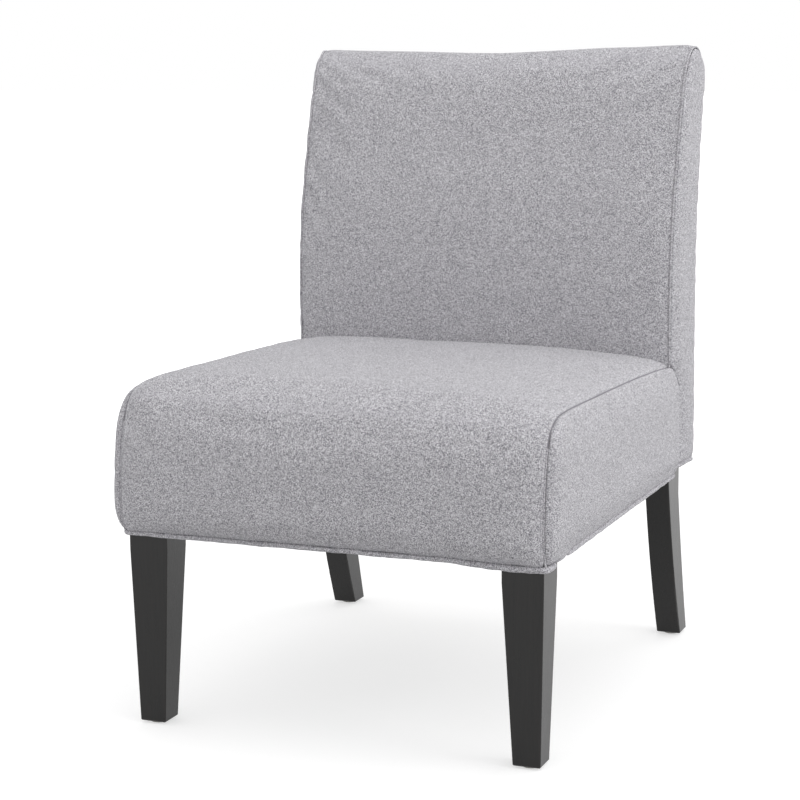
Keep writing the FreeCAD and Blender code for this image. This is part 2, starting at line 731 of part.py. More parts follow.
def swept_middle(start, end):
    """The middle of an arc that leaves start straight up and bends over to end."""
    side, rise = (end[0] - start[0], end[1] - start[1])
    radius = (rise * rise + side * side) / (2 * side)
    return (start[0] + radius - math.sqrt(radius * radius - rise * rise / 4), start[1] + rise / 2)


CROWN_POWER = 2.2


def crown(share):
    """How much of the crown is left at a share of the half width from the middle."""
    return 1 - min(1.0, abs(share)) ** CROWN_POWER


def slab(low, high, depth_low, depth_high, height_low, height_high):
    """An upright block between low and high corners, for cutting."""
    size = (high - low, depth_high - depth_low, height_high - height_low)
    return Part.makeBox(*size, FreeCAD.Vector(low, depth_low, height_low))


STATIONS = (-1.0, -0.8, -0.4, 0.0, 0.4, 0.8, 1.0)
FAR = 1000.0
MARGIN = 100.0
skin = number("cover_thickness")
gap = number("soft_gap")
wadding = number("wadding_thickness")
half_frame = number(HALF)
frame_front = number(FRONT)
post_front_y = number(POST_FRONT)
post_rear_y = number(POST_REAR)
rail_top = number(RAIL_TOP)
rail_bottom = number("rail_bottom")
welt_radius = number("welt_diameter / 2")
seat_half = number(f"{HALF} + seat_side_pad")
seat_rear = post_front_y - gap
seat_bottom = rail_bottom + welt_radius
foam_bottom = number(f"{DECK_BOTTOM} + deck_thickness") + gap
back_half = number(f"{HALF} + back_side_pad")
back_top = number("post_top_height + back_top_pad")
back_shoulder = back_top - number("back_shoulder")
back_front_y = number(f"{POST_FRONT} - back_front_pad")
back_rear_y = number(f"{POST_REAR} + back_rear_pad")
back_bottom = rail_bottom + number("back_rise") + welt_radius


def seat_points(share, inset):
    """The corners of the seat's side view that the crown moves: front, waterfall, top and rear."""
    rise = number("seat_crown") * crown(share)
    front = frame_front - number("seat_front_pad") + inset
    bulge = number("seat_front_bulge") + number("seat_front_crown") * crown(share)
    seam = rail_top + number("seat_seam_rise") + rise - inset
    lip = (front - bulge, seam - number("waterfall_drop"))
    top = (front - bulge + number("waterfall_reach"), seam)
    return (front, bulge, lip, top)


def seat_wire(x, share, inset, below, behind):
    """The seat's outline at one station: front face, waterfall edge, crowned top, rear and underside.
    The front face may run on below the seat, and the top behind it."""
    front, bulge, lip, top = seat_points(share, inset)
    end = (seat_rear, top[1] - number("seat_seam_fall"))
    corners = [(front, seat_bottom), lip, top, end]
    middles = {
        0: (front - bulge, (seat_bottom + lip[1]) / 2),
        1: between(lip, top, 1 - SLANT, SLANT),
        2: ((top[0] + end[0]) / 2, (top[1] + end[1]) / 2 + number("seat_crown") / 8),
    }
    if behind > 0:
        corners.append((seat_rear + behind, end[1]))
    corners.append((seat_rear + behind, seat_bottom - below))
    if below > 0:
        corners.append((front, seat_bottom - below))
    return wire_of(x, corners, middles)


def seat_form(inset, half, below=0.0, behind=0.0):
    """The crowned seat between its side seams."""
    wires = []
    for share in STATIONS:
        wires.append(seat_wire(share * half, share * half / seat_half, inset, below, behind))
    return Part.makeLoft(wires, True, False)


def shrunk(points, centre, inset, size):
    """Points drawn towards a centre, so that the outline of that size lies inset inside itself."""
    return {
        key: tuple(c + (p - c) * (1 - 2 * inset / s) for p, c, s in zip(point, centre, size))
        for key, point in points.items()
    }


def pillow(rim_corners, rim_middles, start, bulge, inset, side):
    """A side panel's form: the rim's outline swelling out by bulge and drawn in by inset."""
    along = [point[0] for point in rim_corners]
    up = [point[1] for point in rim_corners]
    centre = ((min(along) + max(along)) / 2, (min(up) + max(up)) / 2)
    size = (max(along) - min(along), max(up) - min(up))
    sign = -1 if side == "left" else 1
    wires = []
    for turn in (0, 25, 50, 70, 83, 90):
        share = math.sin(math.radians(turn))
        drawn = inset * (1 - math.cos(math.radians(turn)))
        corners = shrunk(dict(enumerate(rim_corners)), centre, drawn, size)
        middles = shrunk(rim_middles, centre, drawn, size)
        wires.append(wire_of(sign * (start + share * bulge), list(corners.values()), middles))
    return Part.makeLoft(wires, True, False)


def seat_side_rim():
    """The side seam's outline: the seat's edge, with a tail that runs beside the back."""
    front, bulge, lip, top = seat_points(1.0, 0.0)
    crease = (back_front_y, top[1] - number("seat_seam_fall"))
    corner = number("seat_side_corner")
    shoulder = (crease[0] + corner, crease[1] - corner)
    tail = (back_front_y + number("seat_side_tail"), seat_bottom)
    corners = [(front, seat_bottom), lip, top, crease, shoulder, tail]
    middles = {
        0: (front - bulge, (seat_bottom + lip[1]) / 2),
        1: between(lip, top, 1 - SLANT, SLANT),
        3: between(crease, shoulder, SLANT, 1 - SLANT),
    }
    return corners, middles


# How far across and up the middle of each arc over the back's top lies, between the arc's ends.
TOP_FRONT_SHARES = (0.36, 0.68)
TOP_REAR_SHARES = (0.74, 0.28)


def back_wire(x, share, inset, bottom):
    """The back's outline at one station: hollow front, rounded top, flat rear."""
    front = back_front_y - number("back_crown") * crown(share) + inset
    rear = back_rear_y - inset
    corners = [
        (front, bottom),
        (front, rail_top + number("back_front_upright")),
        (front + number("back_front_sweep"), back_shoulder),
        (back_front_y + number("back_top_peak"), back_top - inset),
        (rear + number("back_rear_sweep"), back_shoulder),
        (rear, rail_top + number("back_rear_upright")),
        (rear, bottom),
    ]
    middles = {
        1: swept_middle(corners[1], corners[2]),
        2: between(corners[2], corners[3], *TOP_FRONT_SHARES),
        3: between(corners[3], corners[4], *TOP_REAR_SHARES),
        4: swept_middle(corners[5], corners[4]),
    }
    return corners, middles


def back_form(inset, half, below=0.0):
    """The back between its side seams. Its faces may run on below its bottom edge."""
    wires = []
    for share in STATIONS:
        corners, middles = back_wire(0, share * half / back_half, inset, back_bottom - below)
        wires.append(wire_of(share * half, corners, middles))
    return Part.makeLoft(wires, True, False)


def largest(shape):
    """The largest solid of a shape, when a cut leaves crumbs."""
    return max(shape.Solids, key=lambda solid: solid.Volume)


# Seat: foam block, wadding that wraps it and the rails, side pads and the sewn cover

def seat_parts():
    foam_inset = skin + gap + wadding + gap
    above = slab(-FAR, FAR, -FAR, seat_rear - gap, foam_bottom, FAR)
    solid_piece("seat_foam", seat_form(foam_inset, half_frame).common(above))
    above = slab(-FAR, FAR, -FAR, FAR, foam_bottom - gap, FAR)
    room = seat_form(foam_inset - gap, half_frame + gap, behind=MARGIN).common(above)
    frame_room = slab(-half_frame - gap, half_frame + gap, frame_front - gap, FAR, 0, foam_bottom)
    wrap = seat_form(skin + gap, seat_half - gap).cut(slab(-FAR, FAR, -FAR, FAR, 0, seat_bottom + gap))
    solid_piece("seat_wadding", largest(wrap.cut(room).cut(frame_room)))
    outer = seat_form(0, seat_half)
    inner = seat_form(skin, seat_half + skin, below=MARGIN, behind=MARGIN)
    solid_piece("seat_cover_top", largest(outer.cut(inner)))
    rim = seat_side_rim()
    bulge = number("seat_side_bulge")
    for side in SIDES:
        sign = -1 if side == "left" else 1
        panel = pillow(*rim, seat_half, bulge, number("seat_side_inset"), side)
        hollow = panel.copy()
        hollow.translate(FreeCAD.Vector(-sign * skin, 0, 0))
        solid_piece(f"seat_cover_side_{side}", largest(panel.cut(hollow)))
        pad = panel.copy()
        pad.translate(FreeCAD.Vector(-sign * (skin + gap), 0, 0))
        low, high = sorted((sign * (seat_half + gap), sign * FAR))
        kept = slab(low, high, -FAR, FAR, -FAR, FAR)
        solid_piece(f"seat_side_pad_{side}", largest(pad.common(kept)))


seat_parts()


# Back: front foam, wadding round the frame, side pads and the sewn cover

def back_parts():
    seat_room = seat_form(-gap, seat_half + gap, MARGIN, gap)
    below = slab(-FAR, FAR, -FAR, FAR, 0, back_bottom + gap)
    core = back_form(skin + gap, back_half - gap).cut(below)
    strap_gap = number("strap_thickness") + gap
    lean = number(FRONT_LEAN) / number(POST_RISE)

    def face_at(height):
        return post_front_y + lean * (height - rail_top) - strap_gap

    def ahead_of_posts(clearance):
        """Everything in front of the straps, as one cutting block."""
        corners = [(-FAR, rail_bottom), (face_at(rail_bottom) - clearance, rail_bottom),
                   (face_at(FAR) - clearance, FAR), (-FAR, FAR)]
        face = Part.Face(wire_of(-FAR, corners, {}))
        return face.extrude(FreeCAD.Vector(2 * FAR, 0, 0))

    post_top = number("post_top_height")
    top = post_top + gap
    over_posts = slab(-FAR, FAR, -FAR, FAR, top, FAR)
    foam_room = ahead_of_posts(gap).fuse(over_posts)
    solid_piece("back_foam", largest(core.common(foam_room).cut(seat_room)))
    rear_lean = number("post_lean") / number(POST_RISE)
    cavity_corners = [
        (face_at(rail_bottom), rail_bottom),
        (face_at(top), top),
        (post_rear_y + gap + rear_lean * (top - rail_top), top),
        (post_rear_y + gap + rear_lean * gap, rail_top + gap),
        (number(PANEL_RAIL_REAR) + gap, rail_top + gap),
        (number(PANEL_RAIL_REAR) + gap, rail_bottom),
    ]
    cavity_outline = wire_of(-half_frame - gap, cavity_corners, {})
    cavity = Part.Face(cavity_outline).extrude(FreeCAD.Vector(2 * (half_frame + gap), 0, 0))
    foam_side = ahead_of_posts(0).fuse(slab(-FAR, FAR, -FAR, FAR, post_top, FAR))
    solid_piece("back_wadding", largest(core.cut(foam_side).cut(cavity).cut(seat_room)))

    outer = back_form(0, back_half)
    inner = back_form(skin, back_half + skin, MARGIN)
    tube = outer.cut(inner).cut(seat_room)
    rear_room = slab(-FAR, FAR, back_front_y + number("back_top_peak"), FAR, 0, back_shoulder)
    solid_piece("back_cover_front", largest(tube.cut(rear_room)))
    solid_piece("back_cover_rear", largest(tube.common(rear_room)))

    rim = back_wire(0, 1.0, 0, back_bottom)
    seat_rim, seat_middles = seat_side_rim()
    bulge = number("back_side_bulge")
    for side in SIDES:
        sign = -1 if side == "left" else 1
        panel = pillow(*rim, back_half, bulge, number("back_side_inset"), side)
        tail = Part.Face(wire_of(0, seat_rim, seat_middles)).extrude(FreeCAD.Vector(sign * FAR, 0, 0))
        ahead = slab(-FAR, FAR, -FAR, back_front_y + gap, 0, seat_rim[3][1])
        notch = tail.makeOffsetShape(gap, TOLERANCE, fill=False) if gap > 0 else tail
        panel_cut = panel.cut(notch).cut(ahead)
        hollow = panel.copy()
        hollow.translate(FreeCAD.Vector(-sign * skin, 0, 0))
        solid_piece(f"back_cover_side_{side}", largest(panel_cut.cut(hollow)))
        pad = panel.copy()
        pad.translate(FreeCAD.Vector(-sign * (skin + gap), 0, 0))
        low, high = sorted((sign * (max(back_half, seat_half) + gap), sign * FAR))
        kept = slab(low, high, -FAR, FAR, -FAR, FAR)
        solid_piece(f"back_side_pad_{side}", largest(pad.common(kept).cut(notch).cut(ahead)))


back_parts()


# Welts: fabric-covered cord round the bottom edges of the seat and of the back

def round_corner(points, radius):
    """Lines and quarter turns through level points that turn square corners."""
    edges = []
    start = points[0]
    for corner, end in zip(points[1:], points[2:]):
        into = (corner - start).normalize()
        away = (end - corner).normalize()
        first, last = (corner - into * radius, corner + away * radius)
        centre = first + away * radius
        middle = centre + (corner - centre).normalize() * radius
        edges.append(Part.LineSegment(start, first).toShape())
        edges.append(Part.Arc(first, middle, last).toShape())
        start = last
    edges.append(Part.LineSegment(start, points[-1]).toShape())
    return Part.Wire(edges)


def tube_along(path, diameter):
    """A round tube along a path of lines and arcs."""
    start = path.Edges[0]
    place = start.valueAt(start.FirstParameter)
    heading = start.tangentAt(start.FirstParameter)
    ring = Part.Wire([Part.makeCircle(diameter / 2, place, heading)])
    return path.makePipeShell([ring], True, False)


def welts():
    reach = half_frame + welt_radius + gap
    tail = back_front_y + number("seat_side_tail")
    front = frame_front - welt_radius - gap
    level = rail_bottom
    seat_path = [(-reach, tail), (-reach, front), (reach, front), (reach, tail)]
    points = [FreeCAD.Vector(x, y, level) for x, y in seat_path]
    solid_piece("seat_welt", tube_along(round_corner(points, welt_radius + gap), 2 * welt_radius))
    level = rail_bottom + number("back_rise")
    rear = back_rear_y - welt_radius
    start = tail + 2 * gap
    back_path = [(-reach, start), (-reach, rear), (reach, rear), (reach, start)]
    points = [FreeCAD.Vector(x, y, level) for x, y in back_path]
    solid_piece("back_welt", tube_along(round_corner(points, 2 * welt_radius), 2 * welt_radius))


welts()


# Seat springs: sinuous wire from the front rail to the rear rail

def sinuous_path(middle, front, rear, level):
    """Straight rungs across the seat joined by half turns, each turn as two quarter turns."""
    pitches = max(2, round((rear - front) / number("spring_pitch")))
    pitch = (rear - front) / pitches
    rung = number("spring_width") - pitch
    edges = []
    way = 1
    for index in range(pitches + 1):
        along = front + index * pitch
        start = FreeCAD.Vector(middle - way * rung / 2, along, level)
        end = FreeCAD.Vector(middle + way * rung / 2, along, level)
        edges.append(Part.LineSegment(start, end).toShape())
        if index < pitches:
            centre = end + FreeCAD.Vector(0, pitch / 2, 0)
            tip = centre + FreeCAD.Vector(way * pitch / 2, 0, 0)
            last = end + FreeCAD.Vector(0, pitch, 0)
            slant = pitch / 2 * SLANT
            first_middle = centre + FreeCAD.Vector(way * slant, -slant, 0)
            last_middle = centre + FreeCAD.Vector(way * slant, slant, 0)
            edges.append(Part.Arc(end, first_middle, tip).toShape())
            edges.append(Part.Arc(tip, last_middle, last).toShape())
        way = -way
    return Part.Wire(edges)


def springs():
    front, rear, level = (number(FRONT_CLIP), number(REAR_CLIP), number(SPRING_LEVEL))
    for index, middle in enumerate(spring_middles):
        path = sinuous_path(number(middle), front, rear, level)
        solid_piece(f"seat_spring_{index + 1}", tube_along(path, number("spring_wire")))


springs()
doc.recompute()

# Every object and every sub-part is sound before anything is written

for thing in doc.Objects:
    faults = [state for state in thing.State if state in ("Invalid", "Error")]
    if faults:
        raise RuntimeError(f"{thing.Label} is {faults[0].lower()}")
for node, thing in parts.items():
    if thing.Shape.isNull() or not thing.Shape.isValid() or not thing.Shape.Solids:
        raise RuntimeError(f"{node} has no sound shape")

os.makedirs("parts", exist_ok=True)
for node, thing in parts.items():
    thing.Shape.exportStep(f"parts/{node}.step")
print(len(parts), "sub-parts written")
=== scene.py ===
import json
import math

import bpy
import numpy as np
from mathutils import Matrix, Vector, noise
from mathutils.bvhtree import BVHTree


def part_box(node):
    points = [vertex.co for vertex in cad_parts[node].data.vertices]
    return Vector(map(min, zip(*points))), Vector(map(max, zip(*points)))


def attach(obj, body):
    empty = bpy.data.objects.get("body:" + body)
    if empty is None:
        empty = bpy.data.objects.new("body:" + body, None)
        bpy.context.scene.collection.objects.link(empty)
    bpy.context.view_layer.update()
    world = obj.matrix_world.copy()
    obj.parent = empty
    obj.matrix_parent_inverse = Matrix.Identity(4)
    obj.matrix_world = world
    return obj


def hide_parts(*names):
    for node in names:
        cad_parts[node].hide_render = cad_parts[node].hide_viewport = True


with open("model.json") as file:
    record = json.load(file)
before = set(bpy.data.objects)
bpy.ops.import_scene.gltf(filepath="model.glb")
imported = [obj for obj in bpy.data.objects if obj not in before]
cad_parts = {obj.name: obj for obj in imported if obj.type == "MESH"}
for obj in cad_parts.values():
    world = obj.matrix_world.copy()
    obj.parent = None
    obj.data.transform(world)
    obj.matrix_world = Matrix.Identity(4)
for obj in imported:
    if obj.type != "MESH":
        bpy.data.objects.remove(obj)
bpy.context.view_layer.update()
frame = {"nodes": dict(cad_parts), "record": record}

# Sizes are in millimetres in the part's frame, +Z up and the seat facing -Y.
MM = 0.001
NODES = frame["nodes"]


# Camera, fitted to the photograph

CAMERA_PLACE = (0.97884, -2.51316, 0.81384)
CAMERA_TURN = 22.0
CAMERA_TILT = 9.51
CAMERA_ROLL = -0.5
LENS = 96.59
SENSOR = 36.0


def add_camera():
    data = bpy.data.cameras.new("camera")
    data.lens = LENS
    data.sensor_width = SENSOR
    camera = bpy.data.objects.new("camera", data)
    bpy.context.collection.objects.link(camera)
    turn, tilt, roll = (math.radians(a) for a in (CAMERA_TURN, CAMERA_TILT, CAMERA_ROLL))
    ahead = Vector((-math.sin(turn) * math.cos(tilt), math.cos(turn) * math.cos(tilt), -math.sin(tilt)))
    level = Vector((math.cos(turn), math.sin(turn), 0.0))
    above = level.cross(ahead)
    right = level * math.cos(roll) + above * math.sin(roll)
    up = above * math.cos(roll) - level * math.sin(roll)
    matrix = camera.matrix_world.to_3x3()
    matrix.col[0], matrix.col[1], matrix.col[2] = right, up, -ahead
    camera.matrix_world = matrix.to_4x4()
    camera.location = CAMERA_PLACE
    bpy.context.scene.camera = camera


# Node trees

class Tree:
    """A small helper that adds nodes to a material or a world and joins them."""

    def __init__(self, name, kind="Material"):
        owners = {"Material": bpy.data.materials, "World": bpy.data.worlds}[kind]
        self.owner = owners.new(name)
        self.owner.use_nodes = True
        self.nodes = self.owner.node_tree.nodes
        self.links = self.owner.node_tree.links
        self.nodes.clear()
        self.output = self.nodes.new("ShaderNodeOutput" + kind)

    def add(self, kind, settings=None, **inputs):
        node = self.nodes.new(kind)
        for key, value in (settings or {}).items():
            setattr(node, key, value)
        for key, value in inputs.items():
            self.feed(node.inputs[key.replace("_", " ")], value)
        return node

    def feed(self, socket, value):
        if isinstance(value, bpy.types.NodeSocket):
            self.links.new(value, socket)
        else:
            socket.default_value = value

    def math(self, operation, first, second=0.0, clamp=False):
        node = self.add("ShaderNodeMath", {"operation": operation, "use_clamp": clamp})
        self.feed(node.inputs[0], first)
        self.feed(node.inputs[1], second)
        return node.outputs[0]

    def vector(self, operation, *values):
        node = self.add("ShaderNodeVectorMath", {"operation": operation})
        for socket, value in zip(node.inputs, values):
            self.feed(socket, value)
        return node.outputs["Value" if operation in ("LENGTH", "DOT_PRODUCT") else "Vector"]

    def place(self, scale=(1.0, 1.0, 1.0)):
        """Object coordinates in millimetres, stretched by scale."""
        where = self.add("ShaderNodeTexCoord").outputs["Object"]
        return self.add("ShaderNodeMapping", Vector=where, Scale=[s / MM for s in scale]).outputs[0]

    def noise(self, vector, scale, detail=2.0, roughness=0.5):
        node = self.add(
            "ShaderNodeTexNoise", Vector=vector, Scale=scale, Detail=detail, Roughness=roughness)
        return node.outputs[0]

    def ramp(self, factor, stops):
        node = self.nodes.new("ShaderNodeValToRGB")
        self.links.new(factor, node.inputs[0])
        stop_list = node.color_ramp.elements
        while len(stop_list) < len(stops):
            stop_list.new(0.5)
        for element, (position, colour) in zip(stop_list, stops):
            element.position = position
            element.color = (*colour, 1.0)
        return node.outputs[0]

    def mix(self, factor, first, second, blend="MIX"):
        node = self.add("ShaderNodeMix", {"data_type": "RGBA", "blend_type": blend})
        for socket, value in ((0, factor), (6, first), (7, second)):
            self.feed(node.inputs[socket], value)
        return node.outputs[2]

    def bump(self, height, distance, strength=1.0):
        node = self.add("ShaderNodeBump", Height=height, Distance=distance * MM, Strength=strength)
        return node.outputs[0]

    def surface(self, **inputs):
        shader = self.add("ShaderNodeBsdfPrincipled", **inputs)
        self.feed(self.output.inputs[0], shader.outputs[0])
        return self.owner


def srgb(*values):
    """A linear colour from 0 to 255 screen values."""
    return tuple(
        v / 255 / 12.92 if v / 255 <= 0.04045 else ((v / 255 + 0.055) / 1.055) ** 2.4 for v in values)


def solid(colour):
    return (*colour, 1.0)


# Linen: a plain weave of heathered yarn

YARN_PITCH = 0.78
YARN_DARK = srgb(98, 96, 103)
YARN_MID = srgb(183, 181, 187)
YARN_LIGHT = srgb(247, 246, 249)
YARN_DRIFT = 3.0
YARN_DRIFT_SCALE = 0.03
SLUB_SHARE = 0.14
WEAVE_DEPTH = 0.28
FACE_SHARPNESS = 8.0


def face_shares(tree):
    """How much a surface faces each of the three directions, out of one."""
    normal = tree.add("ShaderNodeNewGeometry").outputs["Normal"]
    split = tree.add("ShaderNodeSeparateXYZ", Vector=normal)
    weights = [tree.math("POWER", tree.math("ABSOLUTE", split.outputs[k]), FACE_SHARPNESS)
               for k in range(3)]
    total = tree.math("ADD", tree.math("ADD", weights[0], weights[1]), weights[2])
    return [tree.math("DIVIDE", weight, total) for weight in weights]


def bent_place(tree):
    """Object coordinates in millimetres, bent a little, so that no yarn runs dead straight."""
    place = tree.place()
    drift = tree.add("ShaderNodeTexNoise", Vector=place, Scale=YARN_DRIFT_SCALE)
    centred = tree.vector("SUBTRACT", drift.outputs["Color"], (0.5, 0.5, 0.5))
    return tree.vector("MULTIPLY_ADD", centred, (YARN_DRIFT,) * 3, place)


def crossings(tree, first, second, layer):
    """One plane of plain weave: a tone for each crossing of two yarns, and its small round top."""
    cells, tops = [], []
    for along in (first, second):
        share = tree.math("DIVIDE", along, YARN_PITCH)
        cells.append(tree.math("FLOOR", share))
        tops.append(tree.math("SINE", tree.math("MULTIPLY", tree.math("FRACT", share), math.pi)))
    cell = tree.add("ShaderNodeCombineXYZ", X=cells[0], Y=cells[1], Z=layer)
    tone = tree.add("ShaderNodeTexWhiteNoise", Vector=cell.outputs[0])
    # Every other crossing shows the warp, which is rounded across; the rest show the weft.
    warp = tree.math("ABSOLUTE", tree.math("MODULO", tree.math("ADD", cells[0], cells[1]), 2.0))
    across = tree.nodes.new("ShaderNodeMix")
    for socket, value in ((0, warp), (2, tops[0]), (3, tops[1])):
        tree.feed(across.inputs[socket], value)
    top = tree.math("MULTIPLY", across.outputs[0], tree.math("MULTIPLY", tops[0], tops[1]))
    return tone.outputs["Value"], top


def linen():
    tree = Tree("linen")
    shares = face_shares(tree)
    split = tree.add("ShaderNodeSeparateXYZ", Vector=bent_place(tree))
    tone, top = None, None
    for axis in range(3):
        one, two = [split.outputs[a] for a in range(3) if a != axis]
        plane_tone, plane_top = crossings(tree, one, two, 3.0 + axis)
        plane_tone = tree.math("MULTIPLY", plane_tone, shares[axis])
        plane_top = tree.math("MULTIPLY", plane_top, shares[axis])
        tone = plane_tone if tone is None else tree.math("ADD", tone, plane_tone)
        top = plane_top if top is None else tree.math("ADD", top, plane_top)

    slub = tree.noise(tree.place((0.09, 0.09, 0.5)), 1.0, 2.0, 0.6)
    heather = tree.math(
        "ADD", tree.math("MULTIPLY", tone, 1 - SLUB_SHARE), tree.math("MULTIPLY", slub, SLUB_SHARE))
    colour = tree.ramp(heather, [(0.02, YARN_DARK), (0.45, YARN_MID), (0.98, YARN_LIGHT)])
    # Painted shade: the colour darkens to 0.72 of itself where the yarn tops fall away between crossings.
    hollow_shade = tree.ramp(top, [(0.0, (0.72, 0.72, 0.72)), (0.35, (1.0, 1.0, 1.0))])
    colour = tree.mix(1.0, colour, hollow_shade, "MULTIPLY")
    cloud = tree.noise(tree.place(), 0.02, 2.0)
    shade = tree.ramp(cloud, [(0.3, (0.98, 0.98, 0.98)), (0.7, (1.0, 1.0, 1.0))])
    colour = tree.mix(1.0, colour, shade, "MULTIPLY")
    rough = tree.ramp(heather, [(0.2, (0.95,) * 3), (0.8, (0.85,) * 3)])
    height = tree.math("ADD", top, tree.math("MULTIPLY", tone, 0.3))
    return tree.surface(
        Base_Color=colour, Roughness=rough, Sheen_Weight=0.1, Sheen_Roughness=0.6,
        Specular_IOR_Level=0.2, Normal=tree.bump(height, WEAVE_DEPTH, 0.6))


# Wood: a dark satin stain over straight grain

EDGE_RADIUS = 1.6
EDGE_WEAR = 0.55


def rubbed_edges(tree, fine):
    """An edge is where a rounded copy of the surface turns away from it."""
    rounded = tree.add("ShaderNodeBevel", Radius=EDGE_RADIUS * MM).outputs[0]
    normal = tree.add("ShaderNodeNewGeometry").outputs["Normal"]
    turned = tree.math("SUBTRACT", 1.0, tree.vector("DOT_PRODUCT", rounded, normal))
    return tree.math("MULTIPLY", turned, tree.math("MULTIPLY", fine, 9.0), clamp=True)


def wood(name, dark, light, rough_low, rough_high, along=2, scale=1.0, coat=0.0, wear=None, shine=0.5):
    tree = Tree(name)
    stretch = [0.16 * scale] * 3
    stretch[along] = 0.008 * scale
    place = tree.place(stretch)
    grain = tree.noise(place, 1.6, 5.0, 0.6)
    pores = [0.9 * scale] * 3
    pores[along] = 0.03 * scale
    fine = tree.noise(tree.place(pores), 1.3, 3.0, 0.7)
    both = tree.math("ADD", tree.math("MULTIPLY", grain, 0.65), tree.math("MULTIPLY", fine, 0.35))
    colour = tree.ramp(both, [(0.36, dark), (0.66, light)])
    if wear is not None:
        rubbed = tree.math("MULTIPLY", rubbed_edges(tree, fine), EDGE_WEAR)
        colour = tree.mix(rubbed, colour, solid(wear))
    rough = tree.ramp(both, [(0.3, (rough_low,) * 3), (0.7, (rough_high,) * 3)])
    return tree.surface(
        Base_Color=colour, Roughness=rough, Coat_Weight=coat, Coat_Roughness=0.22,
        Specular_IOR_Level=shine, Normal=tree.bump(both, 0.25, 0.35))


# The pieces that hardly show

def foam():
    tree = Tree("foam")
    cells = tree.add("ShaderNodeTexVoronoi", {"feature": "F1"}, Vector=tree.place(), Scale=0.9)
    age = tree.noise(tree.place(), 0.02, 3.0)
    colour = tree.ramp(age, [(0.3, srgb(222, 208, 164)), (0.7, srgb(238, 229, 194))])
    return tree.surface(
        Base_Color=colour, Roughness=0.95, Normal=tree.bump(cells.outputs["Distance"], 0.6))


def woven(name, dark, light, pitch, rough):
    """A coarse technical cloth or web: crossing threads of one colour, darker where the weave lies low as
    painted shade.
    """
    tree = Tree(name)
    place = tree.place()
    split = tree.add("ShaderNodeSeparateXYZ", Vector=place)
    waves = [tree.math("SINE", tree.math("MULTIPLY", split.outputs[k], 2 * math.pi / pitch))
             for k in range(3)]
    cross = tree.math("MULTIPLY", tree.math("ADD", waves[0], waves[2]), waves[1])
    fuzz = tree.noise(place, 0.7, 3.0, 0.6)
    height = tree.math("ADD", tree.math("MULTIPLY", cross, 0.25), fuzz)
    # Colour follows the height: painted shade where the weave lies low, with the fuzz's random fibre tone.
    colour = tree.ramp(height, [(0.3, dark), (0.8, light)])
    return tree.surface(Base_Color=colour, Roughness=rough, Normal=tree.bump(height, 0.4, 0.6))


def felted(name, dark, light):
    """Non-woven cloth with the small pressed dots of its bonding."""
    tree = Tree(name)
    place = tree.place()
    dots = tree.add("ShaderNodeTexVoronoi", {"feature": "F1"}, Vector=place, Scale=0.45, Randomness=0.15)
    fibre = tree.noise(tree.place((1.0, 0.5, 1.0)), 0.8, 4.0, 0.7)
    height = tree.math("ADD", tree.math("MULTIPLY", dots.outputs["Distance"], 0.6), fibre)
    colour = tree.ramp(fibre, [(0.3, dark), (0.75, light)])
    return tree.surface(Base_Color=colour, Roughness=0.9, Normal=tree.bump(height, 0.3, 0.7))


def grained(name, stretch, grain, dark, light, rough, relief, metallic=0.0):
    """Colour and relief follow one noise, and so does the gloss where rough is a pair."""
    tree = Tree(name)
    noise_value = tree.noise(tree.place(stretch), *grain)
    colour = tree.ramp(noise_value, [(0.3, dark), (0.7, light)])
    if isinstance(rough, tuple):
        rough = tree.ramp(noise_value, [(0.3, (rough[0],) * 3), (0.7, (rough[1],) * 3)])
    return tree.surface(
        Base_Color=colour, Metallic=metallic, Roughness=rough, Normal=tree.bump(noise_value, *relief))


def thread(name, dark, light):
    return grained(name, (1.0, 1.0, 3.0), (0.9, 2.0), dark, light, 0.85, (0.1,))


def dress_nodes():
    """Gives every carried-over CAD node the material of its slot."""
    finishes = {
        "linen": linen(),
        "foam": foam(),
        "wadding": grained(
            "wadding", (0.5, 0.08, 0.5), (2.0, 4.0, 0.7), srgb(214, 214, 212), srgb(244, 244, 242),
            0.9, (1.5,)),
        "dark_wood": wood(
            "dark_wood", srgb(10, 10, 10), srgb(24, 22, 21), 0.25, 0.34, wear=srgb(80, 75, 71), shine=0.38),
        "frame_wood": wood("frame_wood", srgb(176, 138, 96), srgb(214, 182, 138), 0.6, 0.75, along=0),
        "dowel_wood": wood("dowel_wood", srgb(196, 164, 120), srgb(226, 200, 160), 0.55, 0.7, along=0),
        "glide_plastic": grained(
            "glide_plastic", (1.0, 1.0, 0.4), (0.6, 4.0, 0.6), srgb(196, 193, 186), srgb(222, 220, 214),
            (0.35, 0.6), (0.06, 0.5)),
        "zinc_steel": grained(
            "zinc_steel", (1.0, 1.0, 1.0), (0.5, 3.0), srgb(150, 152, 156), srgb(190, 192, 194),
            (0.28, 0.45), (0.05, 0.4), metallic=1.0),
        "deck_cloth": woven("deck_cloth", srgb(196, 190, 176), srgb(226, 222, 210), 0.9, 0.9),
        "strap_web": woven("strap_web", srgb(30, 30, 32), srgb(70, 68, 66), 1.6, 0.8),
        "black_cloth": felted("black_cloth", srgb(20, 20, 22), srgb(46, 46, 50)),
        "thread": thread("thread", srgb(132, 130, 136), srgb(168, 166, 172)),
        # A darker grey for the cord in the seat's top seams: painted shade of the seam's groove.
        "seam_shade_cord": thread("seam_shade_cord", srgb(112, 110, 116), srgb(150, 148, 154)),
    }
    for part in frame["record"]["subparts"]:
        node = NODES[part["node"]]
        for place in node.material_slots:
            place.material = finishes[part["material_slot"]]
    return finishes


# Lines and grids

